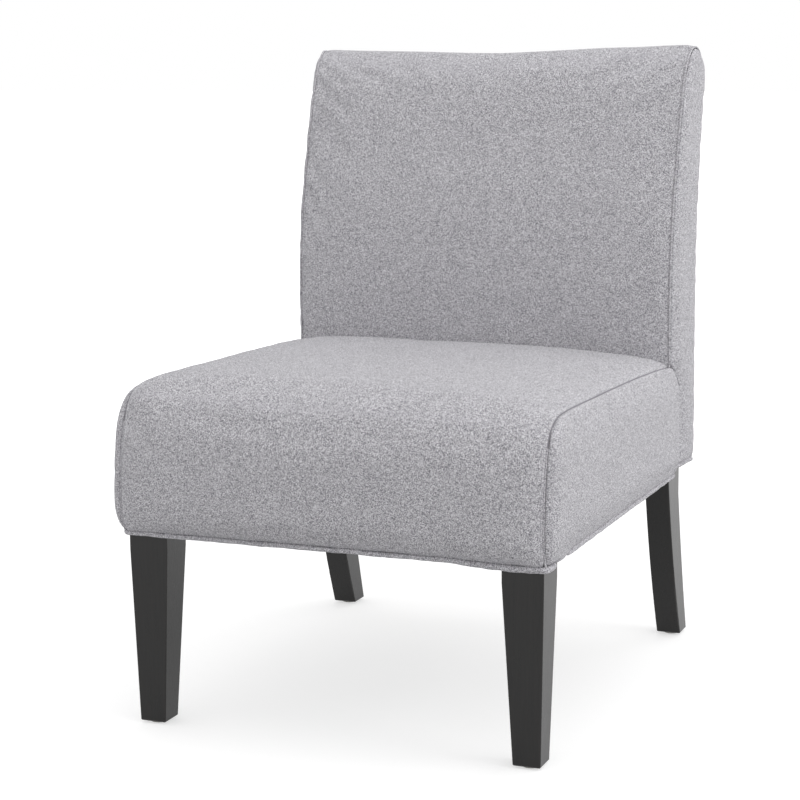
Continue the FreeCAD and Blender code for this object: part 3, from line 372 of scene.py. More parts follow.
def smooth_rows(lines, count):
    """Runs a smooth line through each list of points, all at the same shares of the way."""
    dense = []
    for line in lines:
        points = np.array(line, float)
        ends = np.vstack([2 * points[0] - points[1], points, 2 * points[-1] - points[-2]])
        out = []
        for k in range(1, len(ends) - 2):
            a, b, c, d = ends[k - 1:k + 3]
            for s in np.linspace(0, 1, 24, endpoint=False):
                out.append(0.5 * (2 * b + (c - a) * s + (2 * a - 5 * b + 4 * c - d) * s ** 2
                                  + (3 * b - a - 3 * c + d) * s ** 3))
        out.append(points[-1])
        dense.append(np.array(out))
    steps = np.linalg.norm(np.diff(dense[-1], axis=0), axis=1)
    run = np.concatenate([[0], np.cumsum(steps)])
    even = np.linspace(0, run[-1], count)
    return [np.stack([np.interp(even, run, line[:, k]) for k in range(line.shape[1])], 1)
            for line in dense]


def eased(share):
    """A share of the way, kept from 0 to 1, that starts and ends gently."""
    share = np.clip(share, 0, 1)
    return share * share * (3 - 2 * share)


def crowded(count, share=0.8):
    """Shares from 0 to 1 that lie closer together towards both ends."""
    even = np.linspace(-1, 1, count)
    return ((1 - share) * even + share * np.sin(even * math.pi / 2) + 1) / 2


def unit(vectors):
    """Each vector of an array made one long."""
    return vectors / np.maximum(np.linalg.norm(vectors, axis=-1, keepdims=True), 1e-9)


def normals(grid):
    """The outward unit normals of a grid of points."""
    return unit(np.cross(np.gradient(grid, axis=1), np.gradient(grid, axis=0)))


def uneven(grid, wave, amount, seed):
    """Slow seeded unevenness over a grid, from -amount to amount."""
    shift = Vector((seed, 0, 0))
    return amount * np.array([[noise.noise(Vector(p / wave) + shift) for p in row] for row in grid])


def edge_run(grid):
    """Each point's distance from a grid's first and last row and its first and last column."""
    out = []
    for axis in (0, 1):
        steps = np.linalg.norm(np.diff(grid, axis=axis), axis=2)
        run = np.insert(np.cumsum(steps, axis=axis), 0, 0.0, axis=axis)
        out += [run, run.take([-1], axis) - run]
    return out


def grid_faces(rows, columns, start=0, flip=False):
    faces = []
    for i in range(rows - 1):
        for j in range(columns - 1):
            a = start + i * columns + j
            quad = (a, a + 1, a + columns + 1, a + columns)
            faces.append(quad[::-1] if flip else quad)
    return faces


def new_object(name, points, faces):
    mesh = bpy.data.meshes.new(name)
    mesh.from_pydata([tuple(p) for p in points], [], faces)
    mesh.update()
    for face in mesh.polygons:
        face.use_smooth = True
    piece = bpy.data.objects.new(name, mesh)
    bpy.context.collection.objects.link(piece)
    return piece


# Padded cloth

CLOTH_FRAMES = 20
CLOTH_SETTINGS = {
    "quality": 6, "mass": 0.3, "tension_stiffness": 20, "compression_stiffness": 20,
    "shear_stiffness": 10, "bending_stiffness": 2.0, "use_pressure": True,
    "uniform_pressure_force": 4.0, "shrink_min": -0.004, "vertex_group_mass": "sewn"}
HELD_REACH = 6.0
SEAM_REACH = 3.0
GROOVE = 1.5
GROOVE_REACH = 1.8
# Unevenness of the padding, and of the cloth beside its seams: wave length and height.
PADDING_WAVE, PADDING_RISE, PADDING_FADE = 95.0, 0.9, 25.0
PUCKER_WAVE, PUCKER_RISE, PUCKER_PLACE, PUCKER_WIDTH = 21.0, 0.8, 7.0, 8.0
PAD_THICKNESS = 5.0
PAD_LIP = 1.2
PAD_LIP_REACH = 12.0


def seam_way(grid):
    """The way out of a seam: between the panel's own normal and its outward edge."""
    across, along = unit(np.gradient(grid, axis=1)), unit(np.gradient(grid, axis=0))
    first, last, left, right = [np.exp(-d / SEAM_REACH)[..., None] for d in edge_run(grid)]
    return unit(normals(grid) + along * (last - first) + across * (right - left))


def inflate(grid, cap, held):
    """Blows a grid of cloth up between its sewn edges in a cloth simulation, and caps the move."""
    rows, columns = grid.shape[:2]
    piece = new_object("cloth_to_inflate", (grid * MM).reshape(-1, 3), grid_faces(rows, columns))
    group = piece.vertex_groups.new(name="sewn")
    for index, weight in enumerate(held.reshape(-1)):
        if weight > 0.01:
            group.add([index], float(weight), "REPLACE")
    cloth = piece.modifiers.new("cloth", "CLOTH")
    for setting, value in CLOTH_SETTINGS.items():
        setattr(cloth.settings, setting, value)
    cloth.settings.effector_weights.gravity = 0
    cloth.point_cache.frame_start = 1
    cloth.point_cache.frame_end = CLOTH_FRAMES
    scene = bpy.context.scene
    for step in range(1, CLOTH_FRAMES + 1):
        scene.frame_set(step)
    shape = piece.evaluated_get(bpy.context.evaluated_depsgraph_get()).to_mesh()
    moved = np.empty(len(shape.vertices) * 3)
    shape.vertices.foreach_get("co", moved)
    moved = moved.reshape(grid.shape) / MM
    scene.frame_set(1)
    bpy.data.objects.remove(piece)
    way = moved - grid
    length = np.maximum(np.linalg.norm(way, axis=2, keepdims=True), 1e-6)
    return grid + way / length * cap * np.tanh(length / cap)


def nearest_edge(grid):
    return np.minimum.reduce(edge_run(grid))


def close_pad(name, grid):
    """A closed pad: the grid outside, the same grid moved in behind it, and a rim between them."""
    rows, columns = grid.shape[:2]
    depth = PAD_LIP + (PAD_THICKNESS - PAD_LIP) * np.clip(nearest_edge(grid) / PAD_LIP_REACH, 0, 1)
    inner = grid - normals(grid) * depth[..., None]
    points = np.concatenate([grid.reshape(-1, 3), inner.reshape(-1, 3)]) * MM
    count = rows * columns
    faces = grid_faces(rows, columns) + grid_faces(rows, columns, count, True)
    index = np.arange(count).reshape(rows, columns)
    rim = np.concatenate([index[:, 0], index[-1, 1:], index[-2::-1, -1], index[0, -2:0:-1]]).tolist()
    for a, b in zip(rim, rim[1:] + rim[:1]):
        faces.append((b, b + count, a + count, a))
    return new_object(name, points, faces)


def enrol(piece, material, nodes):
    """Says what a piece is made of, what it moves with and which CAD nodes it stands in for."""
    piece.data.materials.append(material)
    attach(piece, "root")
    if nodes:
        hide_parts(*nodes)
    return piece


def padded_cover(name, grid, material, nodes, puff, puff_reach, cap, seed):
    """A sewn cover panel over padding: puffed up from its seams, inflated as cloth, and closed."""
    near = nearest_edge(grid)
    rise = puff * (1 - np.exp(-near / puff_reach))
    rise += uneven(grid, PADDING_WAVE, PADDING_RISE, seed) * np.clip(near / PADDING_FADE, 0, 1)
    pucker = np.exp(-((near - PUCKER_PLACE) / PUCKER_WIDTH) ** 2)
    rise += uneven(grid, PUCKER_WAVE, PUCKER_RISE, seed + 9) * pucker
    groove = GROOVE * np.exp(-near / GROOVE_REACH)
    grid = grid + normals(grid) * rise[..., None] - seam_way(grid) * groove[..., None]
    grid = inflate(grid, cap, np.clip(1.0 - near / HELD_REACH, 0, 1))
    piece = close_pad(name, grid)
    smoother = piece.modifiers.new("smooth", "SUBSURF")
    smoother.levels = 1
    smoother.render_levels = 1
    enrol(piece, material, nodes)
    return piece


# Cords and stitches

def tube_mesh(path, radii, sides):
    """Points and faces of a round cord along a path, with domed ends."""
    path = np.array(path, float)
    radii = np.broadcast_to(np.array(radii, float), len(path))
    ahead = unit(np.gradient(path, axis=0))
    side = np.cross(ahead[0], (0.0, 0.0, 1.0))
    if np.linalg.norm(side) < 0.1:
        side = np.cross(ahead[0], (0.0, 1.0, 0.0))
    points, faces = [], []
    for centre, way, radius in zip(path, ahead, radii):
        side = side - way * side.dot(way)
        side = side / np.linalg.norm(side)
        up = np.cross(side, way)
        for k in range(sides):
            angle = 2 * math.pi * k / sides
            points.append(centre + (side * math.cos(angle) + up * math.sin(angle)) * radius)
    for i in range(len(path) - 1):
        for k in range(sides):
            a, b = i * sides + k, i * sides + (k + 1) % sides
            faces.append((a, b, b + sides, a + sides))
    faces.append(tuple(range(sides))[::-1])
    faces.append(tuple(range((len(path) - 1) * sides, len(path) * sides)))
    return points, faces


# Angles at which the rounded end of a cord is drawn.
CAP_ANGLES = (0.5, 1.0, 1.4)


def domed(path, radii, sides):
    """A cord whose ends close in over one radius; each round adds a cap and turns the path about."""
    path = np.array(path, float)
    radii = np.array(np.broadcast_to(radii, len(path)), float)
    for _ in range(2):
        end, radius = path[-1], radii[-1]
        way = end - path[-2]
        way /= np.linalg.norm(way)
        cap = [end + way * radius * math.sin(a) for a in CAP_ANGLES]
        path = np.vstack([path, cap])[::-1]
        radii = np.concatenate([radii, [radius * math.cos(a) for a in CAP_ANGLES]])[::-1]
    return tube_mesh(path, radii, sides)


def plain_piece(name, parts, material, nodes=()):
    """One piece from several lists of points and faces in millimetres."""
    points, faces = [], []
    for some_points, some_faces in parts:
        start = len(points)
        points += [tuple(np.array(p) * MM) for p in some_points]
        faces += [tuple(start + k for k in face) for face in some_faces]
    return enrol(new_object(name, points, faces), material, nodes)


def rounded_run(corners, radius, step):
    """Evenly spaced points along a level line whose corners are rounded."""
    corners = [np.array(c, float) for c in corners]
    line = [corners[0]]
    for before, corner, after in zip(corners, corners[1:], corners[2:]):
        back = (before - corner) / np.linalg.norm(before - corner)
        on = (after - corner) / np.linalg.norm(after - corner)
        centre = corner + (back + on) * radius
        for k in range(9):
            angle = k / 8 * math.pi / 2
            line.append(centre - on * radius * math.cos(angle) - back * radius * math.sin(angle))
    line.append(corners[-1])
    line = np.array(line)
    run = np.concatenate([[0], np.cumsum(np.linalg.norm(np.diff(line, axis=0), axis=1))])
    even = np.linspace(0, run[-1], max(4, int(run[-1] / step)))
    return np.stack([np.interp(even, run, line[:, k]) for k in range(line.shape[1])], 1)


WELT_RADIUS = 3.1
WELT_SIDES = 14
WELT_CORNER = 7.0
WELT_STEP = 3.0
THREAD_SIDES = 6
# A dark cord in a seam that paints the seam's shade as a line, and thicker linen thread that fills one so
# that it hardly shows.
SEAM_SHADE_DEPTH, SEAM_SHADE_RADIUS = 1.0, 1.0
FILLER_DEPTH, FILLER_RADIUS = 0.9, 1.4


def welt(corners, level, seed, sag=None):
    """Self-covered cord under a cover's lower edge, a little uneven, as sewn cord is."""
    path, radii = [], []
    for x, y in rounded_run(corners, WELT_CORNER, WELT_STEP):
        here = Vector((x, y, seed * 50.0))
        lift = 0.9 * noise.noise(here / 24.0) + 0.35 * noise.noise(here / 9.0)
        drop, more = (0.0, 0.0) if sag is None else sag(x, y)
        path.append((x + 0.5 * noise.noise(here / 17.0), y + 0.6 * noise.noise(here / 15.0),
                     level + lift - drop))
        radii.append(WELT_RADIUS * (1 + 0.09 * noise.noise(here / 7.0)) + more)
    return domed(path, radii, WELT_SIDES)


# How far a cover turns in behind its cord, how quickly, and where it begins beside a corner.
TUCK = 3.4
TUCK_HEIGHT = 5.0
TUCK_CORNER = 20.0


def tucked(grid, level, half, front=None, rear=None):
    """A cover's lowest millimetres turn in behind the cord that runs at this level."""
    x, y, z = grid[..., 0].copy(), grid[..., 1].copy(), grid[..., 2]
    depth = TUCK * np.exp(-((z - level) / TUCK_HEIGHT) ** 2)
    grid[..., 0] -= np.sign(x) * depth * np.clip((np.abs(x) - half) / TUCK_CORNER + 1, 0, 1)
    if front is not None:
        grid[..., 1] += depth * np.clip((front - y) / TUCK_CORNER + 1, 0, 1)
    if rear is not None:
        grid[..., 1] -= depth * np.clip((y - rear) / TUCK_CORNER + 1, 0, 1)
    return grid


def seam_line(seam, half, depth, radius):
    """A cord in the bottom of a seam, along a side view moved in by depth: dark, it paints the seam's
    shade; in linen, it fills the seam.
    """
    ahead = unit(np.gradient(seam, axis=0))
    outward = np.stack([ahead[:, 1], -ahead[:, 0]], 1)
    across = np.broadcast_to(half - np.sign(half) * depth, len(seam))
    return domed(np.column_stack([across, seam - outward * depth]), radius, THREAD_SIDES)


STITCH_PITCH = 3.4
STITCH_LENGTH = 2.3
STITCH_SHARES = (-0.5, -0.3, 0.0, 0.3, 0.5)
STITCH_RADII = (0.12, 0.24, 0.27, 0.24, 0.12)
STITCH_RISE, STITCH_ARCH = 0.22, 0.9
STITCH_OFFSET = 3.6
STITCH_LOW = 250.0


def stitches_on(piece, spots):
    """Short raised stitches on a piece's surface; spots are (place, way along, way in)."""
    bpy.context.view_layer.update()
    mesh = piece.evaluated_get(bpy.context.evaluated_depsgraph_get()).to_mesh()
    tree = BVHTree.FromPolygons(
        [v.co.copy() for v in mesh.vertices], [tuple(f.vertices) for f in mesh.polygons])
    parts = []
    for place, along, inward in spots:
        start = Vector(place) * MM - Vector(inward) * 0.02
        hit, normal, _, _ = tree.ray_cast(start, Vector(inward), 0.05)
        if hit is None:
            continue
        centre = np.array(hit) / MM
        normal = np.array(normal) * (-1 if normal.dot(Vector(inward)) > 0 else 1)
        way = np.array(along) - normal * np.dot(along, normal)
        way /= np.linalg.norm(way)
        path = [centre + way * STITCH_LENGTH * s + normal * (STITCH_RISE - STITCH_ARCH * s * s)
                for s in STITCH_SHARES]
        parts.append(tube_mesh(path, STITCH_RADII, THREAD_SIDES))
    return parts


# Seat: one strip for the top and the front, and two boxed sides

SEAT_HALF = 264.0
SEAT_CROWN_POWER = 2.3
# Side views (y, z) from the crease at the back, over the waterfall edge and down to the welt.
SEAT_SEAM = [
    (199, 388), (150, 392), (70, 396), (-20, 399), (-110, 401), (-190, 402.5), (-245, 403),
    (-277, 400.5), (-299, 391), (-311, 375), (-319, 350), (-324, 318), (-326, 285), (-325, 262),
    (-321.5, 248), (-317, 238)]
SEAT_MIDDLE = [
    (199, 401), (150, 406), (70, 411), (-20, 414), (-110, 415.5), (-190, 416), (-240, 415.5),
    (-274, 412), (-300, 403), (-315, 388), (-324, 364), (-328, 333), (-329, 298), (-328, 268),
    (-324, 250), (-317, 238)]
SEAT_REAR_EDGE = [(233, 238), (230.5, 270), (228, 305), (226, 340), (222, 362), (213, 379), (199, 388)]
# The seam's point where the top turns down into the front, and the level where the corner starts.
SEAT_TURN = 8
CORNER_TOP = 372.0
SIDES = ((-1, "left"), (1, "right"))
# How far each side panel bulges, and how far in from its bottom, top, front and rear that takes.
SEAT_SIDE_BULGE = {-1: 10.0, 1: 8.5}
SEAT_SIDE_REACH = {-1: (40, 42, 16, 30), 1: (40, 60, 16, 30)}
# How much higher the left shoulder is, where that starts and how far it takes, in x and in z.
LEFT_FULLNESS = 8.0
LEFT_FROM, LEFT_REACH = 60.0, 190.0
LEFT_LEVEL, LEFT_RISE = 372.0, 26.0

SEAT_WELT_LEVEL = 238.0
SEAT_WELT_X = 264.3
SEAT_WELT_FRONT = -317.5
SEAT_WELT_REAR = 226.0
# On the right the cord stops behind the front corner and starts again further back.
WELT_BREAK = (-292.0, -240.0)
BREAK_DROP, BREAK_SWELL = 5.0, 1.5
# Where the front cord hangs a little low, before the right corner, and round the corner.
SAG_FROM, SAG_FULL = 130.0, 215.0
SAG_REAR, SAG_RIGHT = -300.0, 250.0
SAG_DROP, SAG_SWELL = 3.0, 0.7
SAG_HEIGHT, SAG_FADE = 24.0, 9.0


def seat_strip_grid(rows=128, columns=104):
    seam, middle = smooth_rows([SEAT_SEAM, SEAT_MIDDLE], rows)
    shares = crowded(columns) * 2 - 1
    grid = np.empty((rows, columns, 3))
    for j, share in enumerate(shares):
        crown = 1 - abs(share) ** SEAT_CROWN_POWER
        grid[:, j, 0] = share * SEAT_HALF
        grid[:, j, 1:] = seam + (middle - seam) * crown
    return fuller_left(grid)


def fuller_left(grid):
    """The seat's left shoulder is padded a little higher than its right."""
    left = np.clip((-grid[..., 0] - LEFT_FROM) / LEFT_REACH, 0, 1)
    grid[..., 2] += LEFT_FULLNESS * left * eased((grid[..., 2] - LEFT_LEVEL) / LEFT_RISE)
    return grid


def coons(bottom, top, front, rear, p_shares, q_shares):
    """A grid of (y, z) between four edges; p runs from front to rear and q from bottom to top."""
    def at(line, share):
        even = np.linspace(0, 1, len(line))
        return np.stack([np.interp(share, even, line[:, k]) for k in range(2)], -1)
    p = p_shares[None, :, None]
    q = q_shares[:, None, None]
    low, high = at(bottom, p_shares)[None], at(top, p_shares)[None]
    near, far = at(front, q_shares)[:, None], at(rear, q_shares)[:, None]
    corners = ((1 - p) * (1 - q) * bottom[0] + p * (1 - q) * bottom[-1]
               + (1 - p) * q * top[0] + p * q * top[-1])
    return (1 - q) * low + q * high + (1 - p) * near + p * far - corners


def boxed_side(edges, half, side, bulge, reach, rows, columns, wider=None):
    """A boxed side panel: its outline from the edges, and its middle standing out from the seams."""
    grid = np.empty((rows, columns, 3))
    grid[..., 0] = half
    grid[..., 1:] = coons(*edges, crowded(columns), crowded(rows))
    out = np.ones(grid.shape[:2])
    for distance, far in zip(edge_run(grid), reach):
        out *= 1 - np.clip(1 - distance / far, 0, 1) ** 2.5
    grid[..., 0] += bulge * out
    if wider is not None:
        grid[..., 0] += wider(grid[..., 1], grid[..., 2])
    if side > 0:
        return grid
    grid[..., 0] *= -1
    return grid[:, ::-1]


def front_sag(x, y):
    """How far the front cord drops and swells near its right end."""
    if y > SAG_REAR and x < SAG_RIGHT:
        return 0.0, 0.0
    share = eased((x - SAG_FROM) / (SAG_FULL - SAG_FROM))
    swell = 1 + noise.noise(Vector((x / 12.0, 3.0, 1.0)))
    return SAG_DROP * share, SAG_SWELL * share * swell


def follow_sag(grid):
    """The front cover's lower edge goes down with the cord."""
    for i, row in enumerate(grid):
        for j, (x, y, z) in enumerate(row):
            above = z - SEAT_WELT_LEVEL
            if above < SAG_HEIGHT and y < 0:
                grid[i, j, 2] -= front_sag(x, y)[0] * math.exp(-above / SAG_FADE)
    return grid


def close_welt_break(grid):
    """Lets the right side cover reach down over the break in the cord."""
    middle, reach = sum(WELT_BREAK) / 2, (WELT_BREAK[1] - WELT_BREAK[0]) / 2
    share = eased(1.25 - np.abs(grid[..., 1] - middle) / reach)
    share = share * np.exp(-(grid[..., 2] - grid[..., 2].min()) / SAG_FADE)
    grid[..., 2] -= BREAK_DROP * share
    grid[..., 0] += BREAK_SWELL * share
    return grid


def build_seat_covers(finishes):
    """The strip over the top and the front, then the left and the right side."""
    grid = tucked(follow_sag(seat_strip_grid()), SEAT_WELT_LEVEL, SEAT_HALF, front=SEAT_WELT_FRONT)
    covers = {0: padded_cover(
        "seat_top_cover", grid[:, ::-1], finishes["linen"],
        ["seat_cover_top", "seat_wadding", "seat_foam"],
        puff=8.0, puff_reach=9.0, cap=2.5, seed=3)}
    front = smooth_rows([SEAT_SEAM[SEAT_TURN:]], 60)[0][::-1]
    top = smooth_rows([SEAT_SEAM[:SEAT_TURN + 1]], 120)[0][::-1]
    rear = smooth_rows([SEAT_REAR_EDGE], 60)[0]
    bottom = np.linspace(front[0], rear[0], 120)
    for side, word in SIDES:
        grid = boxed_side(
            (bottom, top, front, rear), SEAT_HALF, side, SEAT_SIDE_BULGE[side],
            SEAT_SIDE_REACH[side], rows=44, columns=110)
        grid = tucked(grid, SEAT_WELT_LEVEL, SEAT_HALF, front=SEAT_WELT_FRONT)
        grid = close_welt_break(grid) if side > 0 else fuller_left(grid)
        covers[side] = padded_cover(
            f"seat_side_cover_{word}", grid, finishes["linen"],
            [f"seat_cover_side_{word}", f"seat_side_pad_{word}"],
            puff=3.5, puff_reach=5.0, cap=2.0, seed=5 + side)
    return covers


def build_seat_trim(finishes):
    """A dark cord along the side seams that paints their shade, lighter and thicker linen thread down the
    corners, and the welt cord.
    """
    seam = smooth_rows([SEAT_SEAM], 220)[0]
    corner = int(np.argmax(seam[:, 1] < CORNER_TOP))
    top_shade_cords, corner_threads = [], []
    for side, _ in SIDES:
        half = side * SEAT_HALF
        edge = fuller_left(np.column_stack([np.full(len(seam), half), seam]))[:, 1:]
        top_shade_cords.append(seam_line(edge[:corner + 1], half, SEAM_SHADE_DEPTH, SEAM_SHADE_RADIUS))
        corner_threads.append(seam_line(edge[corner:], half, FILLER_DEPTH, FILLER_RADIUS))
    # The dark cords paint the shade in the top seams' grooves.
    plain_piece("seat_seam_shade_cords", top_shade_cords, finishes["seam_shade_cord"])
    plain_piece("seat_corner_threads", corner_threads, finishes["linen"])
    x, front_y, rear_y = SEAT_WELT_X, SEAT_WELT_FRONT, SEAT_WELT_REAR
    cords = [
        welt([(-x, rear_y), (-x, front_y), (x, front_y), (x, WELT_BREAK[0])],
             SEAT_WELT_LEVEL, 1, front_sag),
        welt([(x, WELT_BREAK[1]), (x, rear_y)], SEAT_WELT_LEVEL, 2),
    ]
    plain_piece("seat_welt_cord", cords, finishes["linen"], ["seat_welt"])


def build_corner_stitches(finishes, covers):
    """Two lines of stitches down each front corner, one on each side of the seam."""
    climb = smooth_rows([SEAT_SEAM[SEAT_TURN:]], 200)[0][::-1]
    rows = []
    for side, _ in SIDES:
        front_spots, side_spots = [], []
        for level in np.arange(STITCH_LOW, CORNER_TOP, STITCH_PITCH):
            y = np.interp(level, climb[:, 1], climb[:, 0])
            front_x = side * (SEAT_HALF - STITCH_OFFSET)
            front_spots.append(((front_x, y, level), (0, 0, 1), (0, 1, 0)))
            side_place = (side * SEAT_HALF, y + STITCH_OFFSET, level)
            side_spots.append((side_place, (0, 0, 1), (-side, 0, 0)))
        rows += stitches_on(covers[0], front_spots)
        rows += stitches_on(covers[side], side_spots)
    plain_piece("seat_corner_stitches", rows, finishes["thread"])


# Back: a front that turns over the top, an outside back, and two boxed sides

BACK_HALF = 265.0
BACK_CROWN_POWER = 3.0
BACK_CROWN = 4.5
# The share of the crown that the outside back has.
REAR_CROWN = 0.3
# How much wider the back is behind its front edge, and how soon.
BACK_SPREAD = 4.5
BACK_SPREAD_REACH = 60.0
# Side views (y, z) from behind the seat, up the front and over the top.
BACK_FRONT_SEAM = [
    (201, 262), (201, 330), (200, 400), (199, 450), (199, 490), (201.5, 531), (207, 573), (216, 618),
    (226, 653), (238, 695), (249, 730), (262, 762), (276, 783), (293, 795), (311, 794), (325, 783),
    (330, 767)]
BACK_REAR_SEAM = [
    (330, 767), (331, 740), (325, 697), (315, 648), (309, 590), (305, 530), (304, 474), (304, 400),
    (304, 330), (304, 285), (302, 249)]
BACK_TAIL_EDGE = [
    (232.5, 249), (229, 285), (226.5, 318), (225, 342), (221, 364), (212, 380.5), (200, 390),
    (199.5, 410), (199, 450), (199, 490)]
# The front seam's points where a side panel's tail joins it and where it turns over the top.
TAIL_JOIN, TOP_TURN = 4, 12
# How far the top edge is lifted at each x, and from which level up.
TOP_FROM, TOP_RISE = 640.0, 130.0
TOP_LINE = [
    (-270, 3), (-221, 0.5), (-156, -1), (-80, -2.5), (-5, -4), (32, -3), (68, -1.5), (122, 1), (176, 3),
    (229, 5), (253, 5.5), (268, 5)]


def top_waves(grid):
    """The top edge dips in the middle and rises to the right, as in the photograph."""
    line = np.array(TOP_LINE, float)
    lift = np.interp(grid[..., 0], line[:, 0], line[:, 1])
    grid[..., 2] += lift * np.clip((grid[..., 2] - TOP_FROM) / TOP_RISE, 0, 1)
    return grid


def widened(y, z):
    """How much wider the back is behind its front edge than at it."""
    line = np.array(BACK_FRONT_SEAM[:TOP_TURN], float)
    edge = np.interp(z, line[:, 1], line[:, 0])
    return BACK_SPREAD * np.clip((y - edge) / BACK_SPREAD_REACH, 0, 1)


def back_strip_grid(side_view, rows, columns, crowns):
    """A strip along a side view of the back; crowns are shares of the way and of the crown."""
    seam = smooth_rows([side_view], rows)[0]
    crowns = np.interp(np.linspace(0, 1, rows), *crowns)[:, None]
    ahead = unit(np.gradient(seam, axis=0))
    outward = np.stack([-ahead[:, 1], ahead[:, 0]], 1) * crowns
    half = BACK_HALF + widened(seam[:, 0], seam[:, 1])
    shares = crowded(columns) * 2 - 1
    grid = np.empty((rows, columns, 3))
    for j, share in enumerate(shares):
        crown = 1 - abs(share) ** BACK_CROWN_POWER
        grid[:, j, 0] = share * half
        grid[:, j, 1:] = seam + outward * BACK_CROWN * crown
    return top_waves(grid)


BACK_WELT_LEVEL = 248.5
BACK_WELT_X = 265.5
BACK_WELT_FRONT = 240.0
BACK_WELT_REAR = 303.0
BACK_THREAD_LOW = 384.0
REAR_THREAD_DEPTH, REAR_THREAD_RADIUS = 1.3, 0.8


def build_back_covers(finishes):
    """The front, which turns over the top, the outside back, then the left and the right side."""
    crowns = ((0, 0.7, 1), (1, 1, REAR_CROWN))
    padded_cover(
        "back_front_cover", back_strip_grid(BACK_FRONT_SEAM, 130, 104, crowns), finishes["linen"],
        ["back_cover_front", "back_wadding", "back_foam"],
        puff=3.5, puff_reach=6.0, cap=2.0, seed=21)
    grid = back_strip_grid(BACK_REAR_SEAM, 96, 104, ((0, 1), (REAR_CROWN, REAR_CROWN)))
    grid = tucked(grid, BACK_WELT_LEVEL, BACK_HALF + BACK_SPREAD, rear=BACK_WELT_REAR)
    padded_cover(
        "back_outside_cover", grid, finishes["linen"], ["back_cover_rear"],
        puff=1.5, puff_reach=7.0, cap=1.0, seed=33)
    tail = smooth_rows([BACK_TAIL_EDGE], 60)[0]
    rise = smooth_rows([BACK_FRONT_SEAM[TAIL_JOIN:TOP_TURN + 1]], 80)[0]
    front = smooth_rows([np.vstack([tail, rise[1:]])], 150)[0]
    top = smooth_rows([BACK_FRONT_SEAM[TOP_TURN:]], 60)[0]
    rear = smooth_rows([BACK_REAR_SEAM], 150)[0][::-1]
    bottom = np.linspace(front[0], rear[0], 60)
    for side, word in SIDES:
        grid = boxed_side(
            (bottom, top, front, rear), BACK_HALF, side, bulge=3.0, reach=(30, 30, 20, 20),
            rows=120, columns=30, wider=widened)
        grid = tucked(top_waves(grid), BACK_WELT_LEVEL, BACK_HALF, rear=BACK_WELT_REAR)
        padded_cover(
            f"back_side_cover_{word}", grid, finishes["linen"],
            [f"back_cover_side_{word}", f"back_side_pad_{word}"],
            puff=3.0, puff_reach=5.0, cap=1.5, seed=41 + side)


def build_back_trim(finishes):
    """Thread in the four side seams and in the seam across the rear, and the welt cord."""
    rise, fall = smooth_rows([BACK_FRONT_SEAM], 220)[0], smooth_rows([BACK_REAR_SEAM], 160)[0]
    rise = rise[np.argmax(rise[:, 1] > BACK_THREAD_LOW):]
    lines = []
    for side, _ in SIDES:
        for side_view in (rise, fall):
            half = side * (BACK_HALF + widened(side_view[:, 0], side_view[:, 1]))
            edge = top_waves(np.column_stack([half, side_view]))
            lines.append(seam_line(edge[:, 1:], edge[:, 0], FILLER_DEPTH, FILLER_RADIUS))
    across = np.linspace(-1, 1, 80)
    crown = BACK_CROWN * REAR_CROWN * (1 - np.abs(across) ** BACK_CROWN_POWER)
    y, z = BACK_REAR_SEAM[0]
    rear = np.column_stack(
        [across * (BACK_HALF + BACK_SPREAD), y + crown - REAR_THREAD_DEPTH, np.full(len(across), float(z))])
    lines.append(domed(top_waves(rear), REAR_THREAD_RADIUS, THREAD_SIDES))
    plain_piece("back_seam_threads", lines, finishes["linen"])
    x, rear_y, front_y = BACK_WELT_X, BACK_WELT_REAR, BACK_WELT_FRONT
    wide = x + BACK_SPREAD
    cord = welt([(-x, front_y), (-wide, rear_y), (wide, rear_y), (x, front_y)], BACK_WELT_LEVEL, 7)
    plain_piece("back_welt_cord", [cord], finishes["linen"], ["back_welt"])


# Underside: the covers' ends turned under the rails, and a thin black cover stapled over them

# How far the turned edges reach past the cloth's edge, and how thin they are.
TURNED_UNDER = 6.0
TURNED_LAP = 1.5
TURNED_BELOW, TURNED_ABOVE = 0.35, 0.2
# The outside back's own edge, up behind the rear rail: in front of it, behind it and above the welt.
REAR_STRIP_IN, REAR_STRIP_OUT, REAR_STRIP_RISE = 0.5, 1.4, 4.0
DUST_SAG = 3.0
DUST_STEP = 9.0
DUST_GAP = 0.4
DUST_THICKNESS = 0.6
NOTCH_GAP = 2.0
REAR_NOTCH = 215.0
STAPLE_PITCH = 42.0
STAPLE_WIDTH = 9.5
STAPLE_WIRE = 0.5
STAPLE_INSET = 8.0
STAPLE_LEVEL = 1.35


def lines_between(stops, step):
    """Grid lines that pass through every stop and lie about a step apart."""
    out = [stops[0]]
    for low, high in zip(stops, stops[1:]):
        count = max(1, round((high - low) / step))
        out += [low + (high - low) * k / count for k in range(1, count + 1)]
    return out


def slab(left, right, near, far, low, high):
    """A closed box between these planes."""
    corners = [(left, near), (right, near), (right, far), (left, far)]
    points = [(x, y, level) for level in (low, high) for x, y in corners]
    around = [(k, (k + 1) % 4, 4 + (k + 1) % 4, 4 + k) for k in range(4)]
    return points, [(0, 3, 2, 1), (4, 5, 6, 7)] + around


def underside_plan():
    """The underside cloth's two corners, and how far its notches reach to clear the legs."""
    low, high = [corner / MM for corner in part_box("dust_cover")]
    leg = [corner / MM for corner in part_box("front_leg_right")]
    post_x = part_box("rear_post_right")[0].x / MM
    return low, high, leg[0].x - NOTCH_GAP, post_x - NOTCH_GAP, leg[1].y + NOTCH_GAP


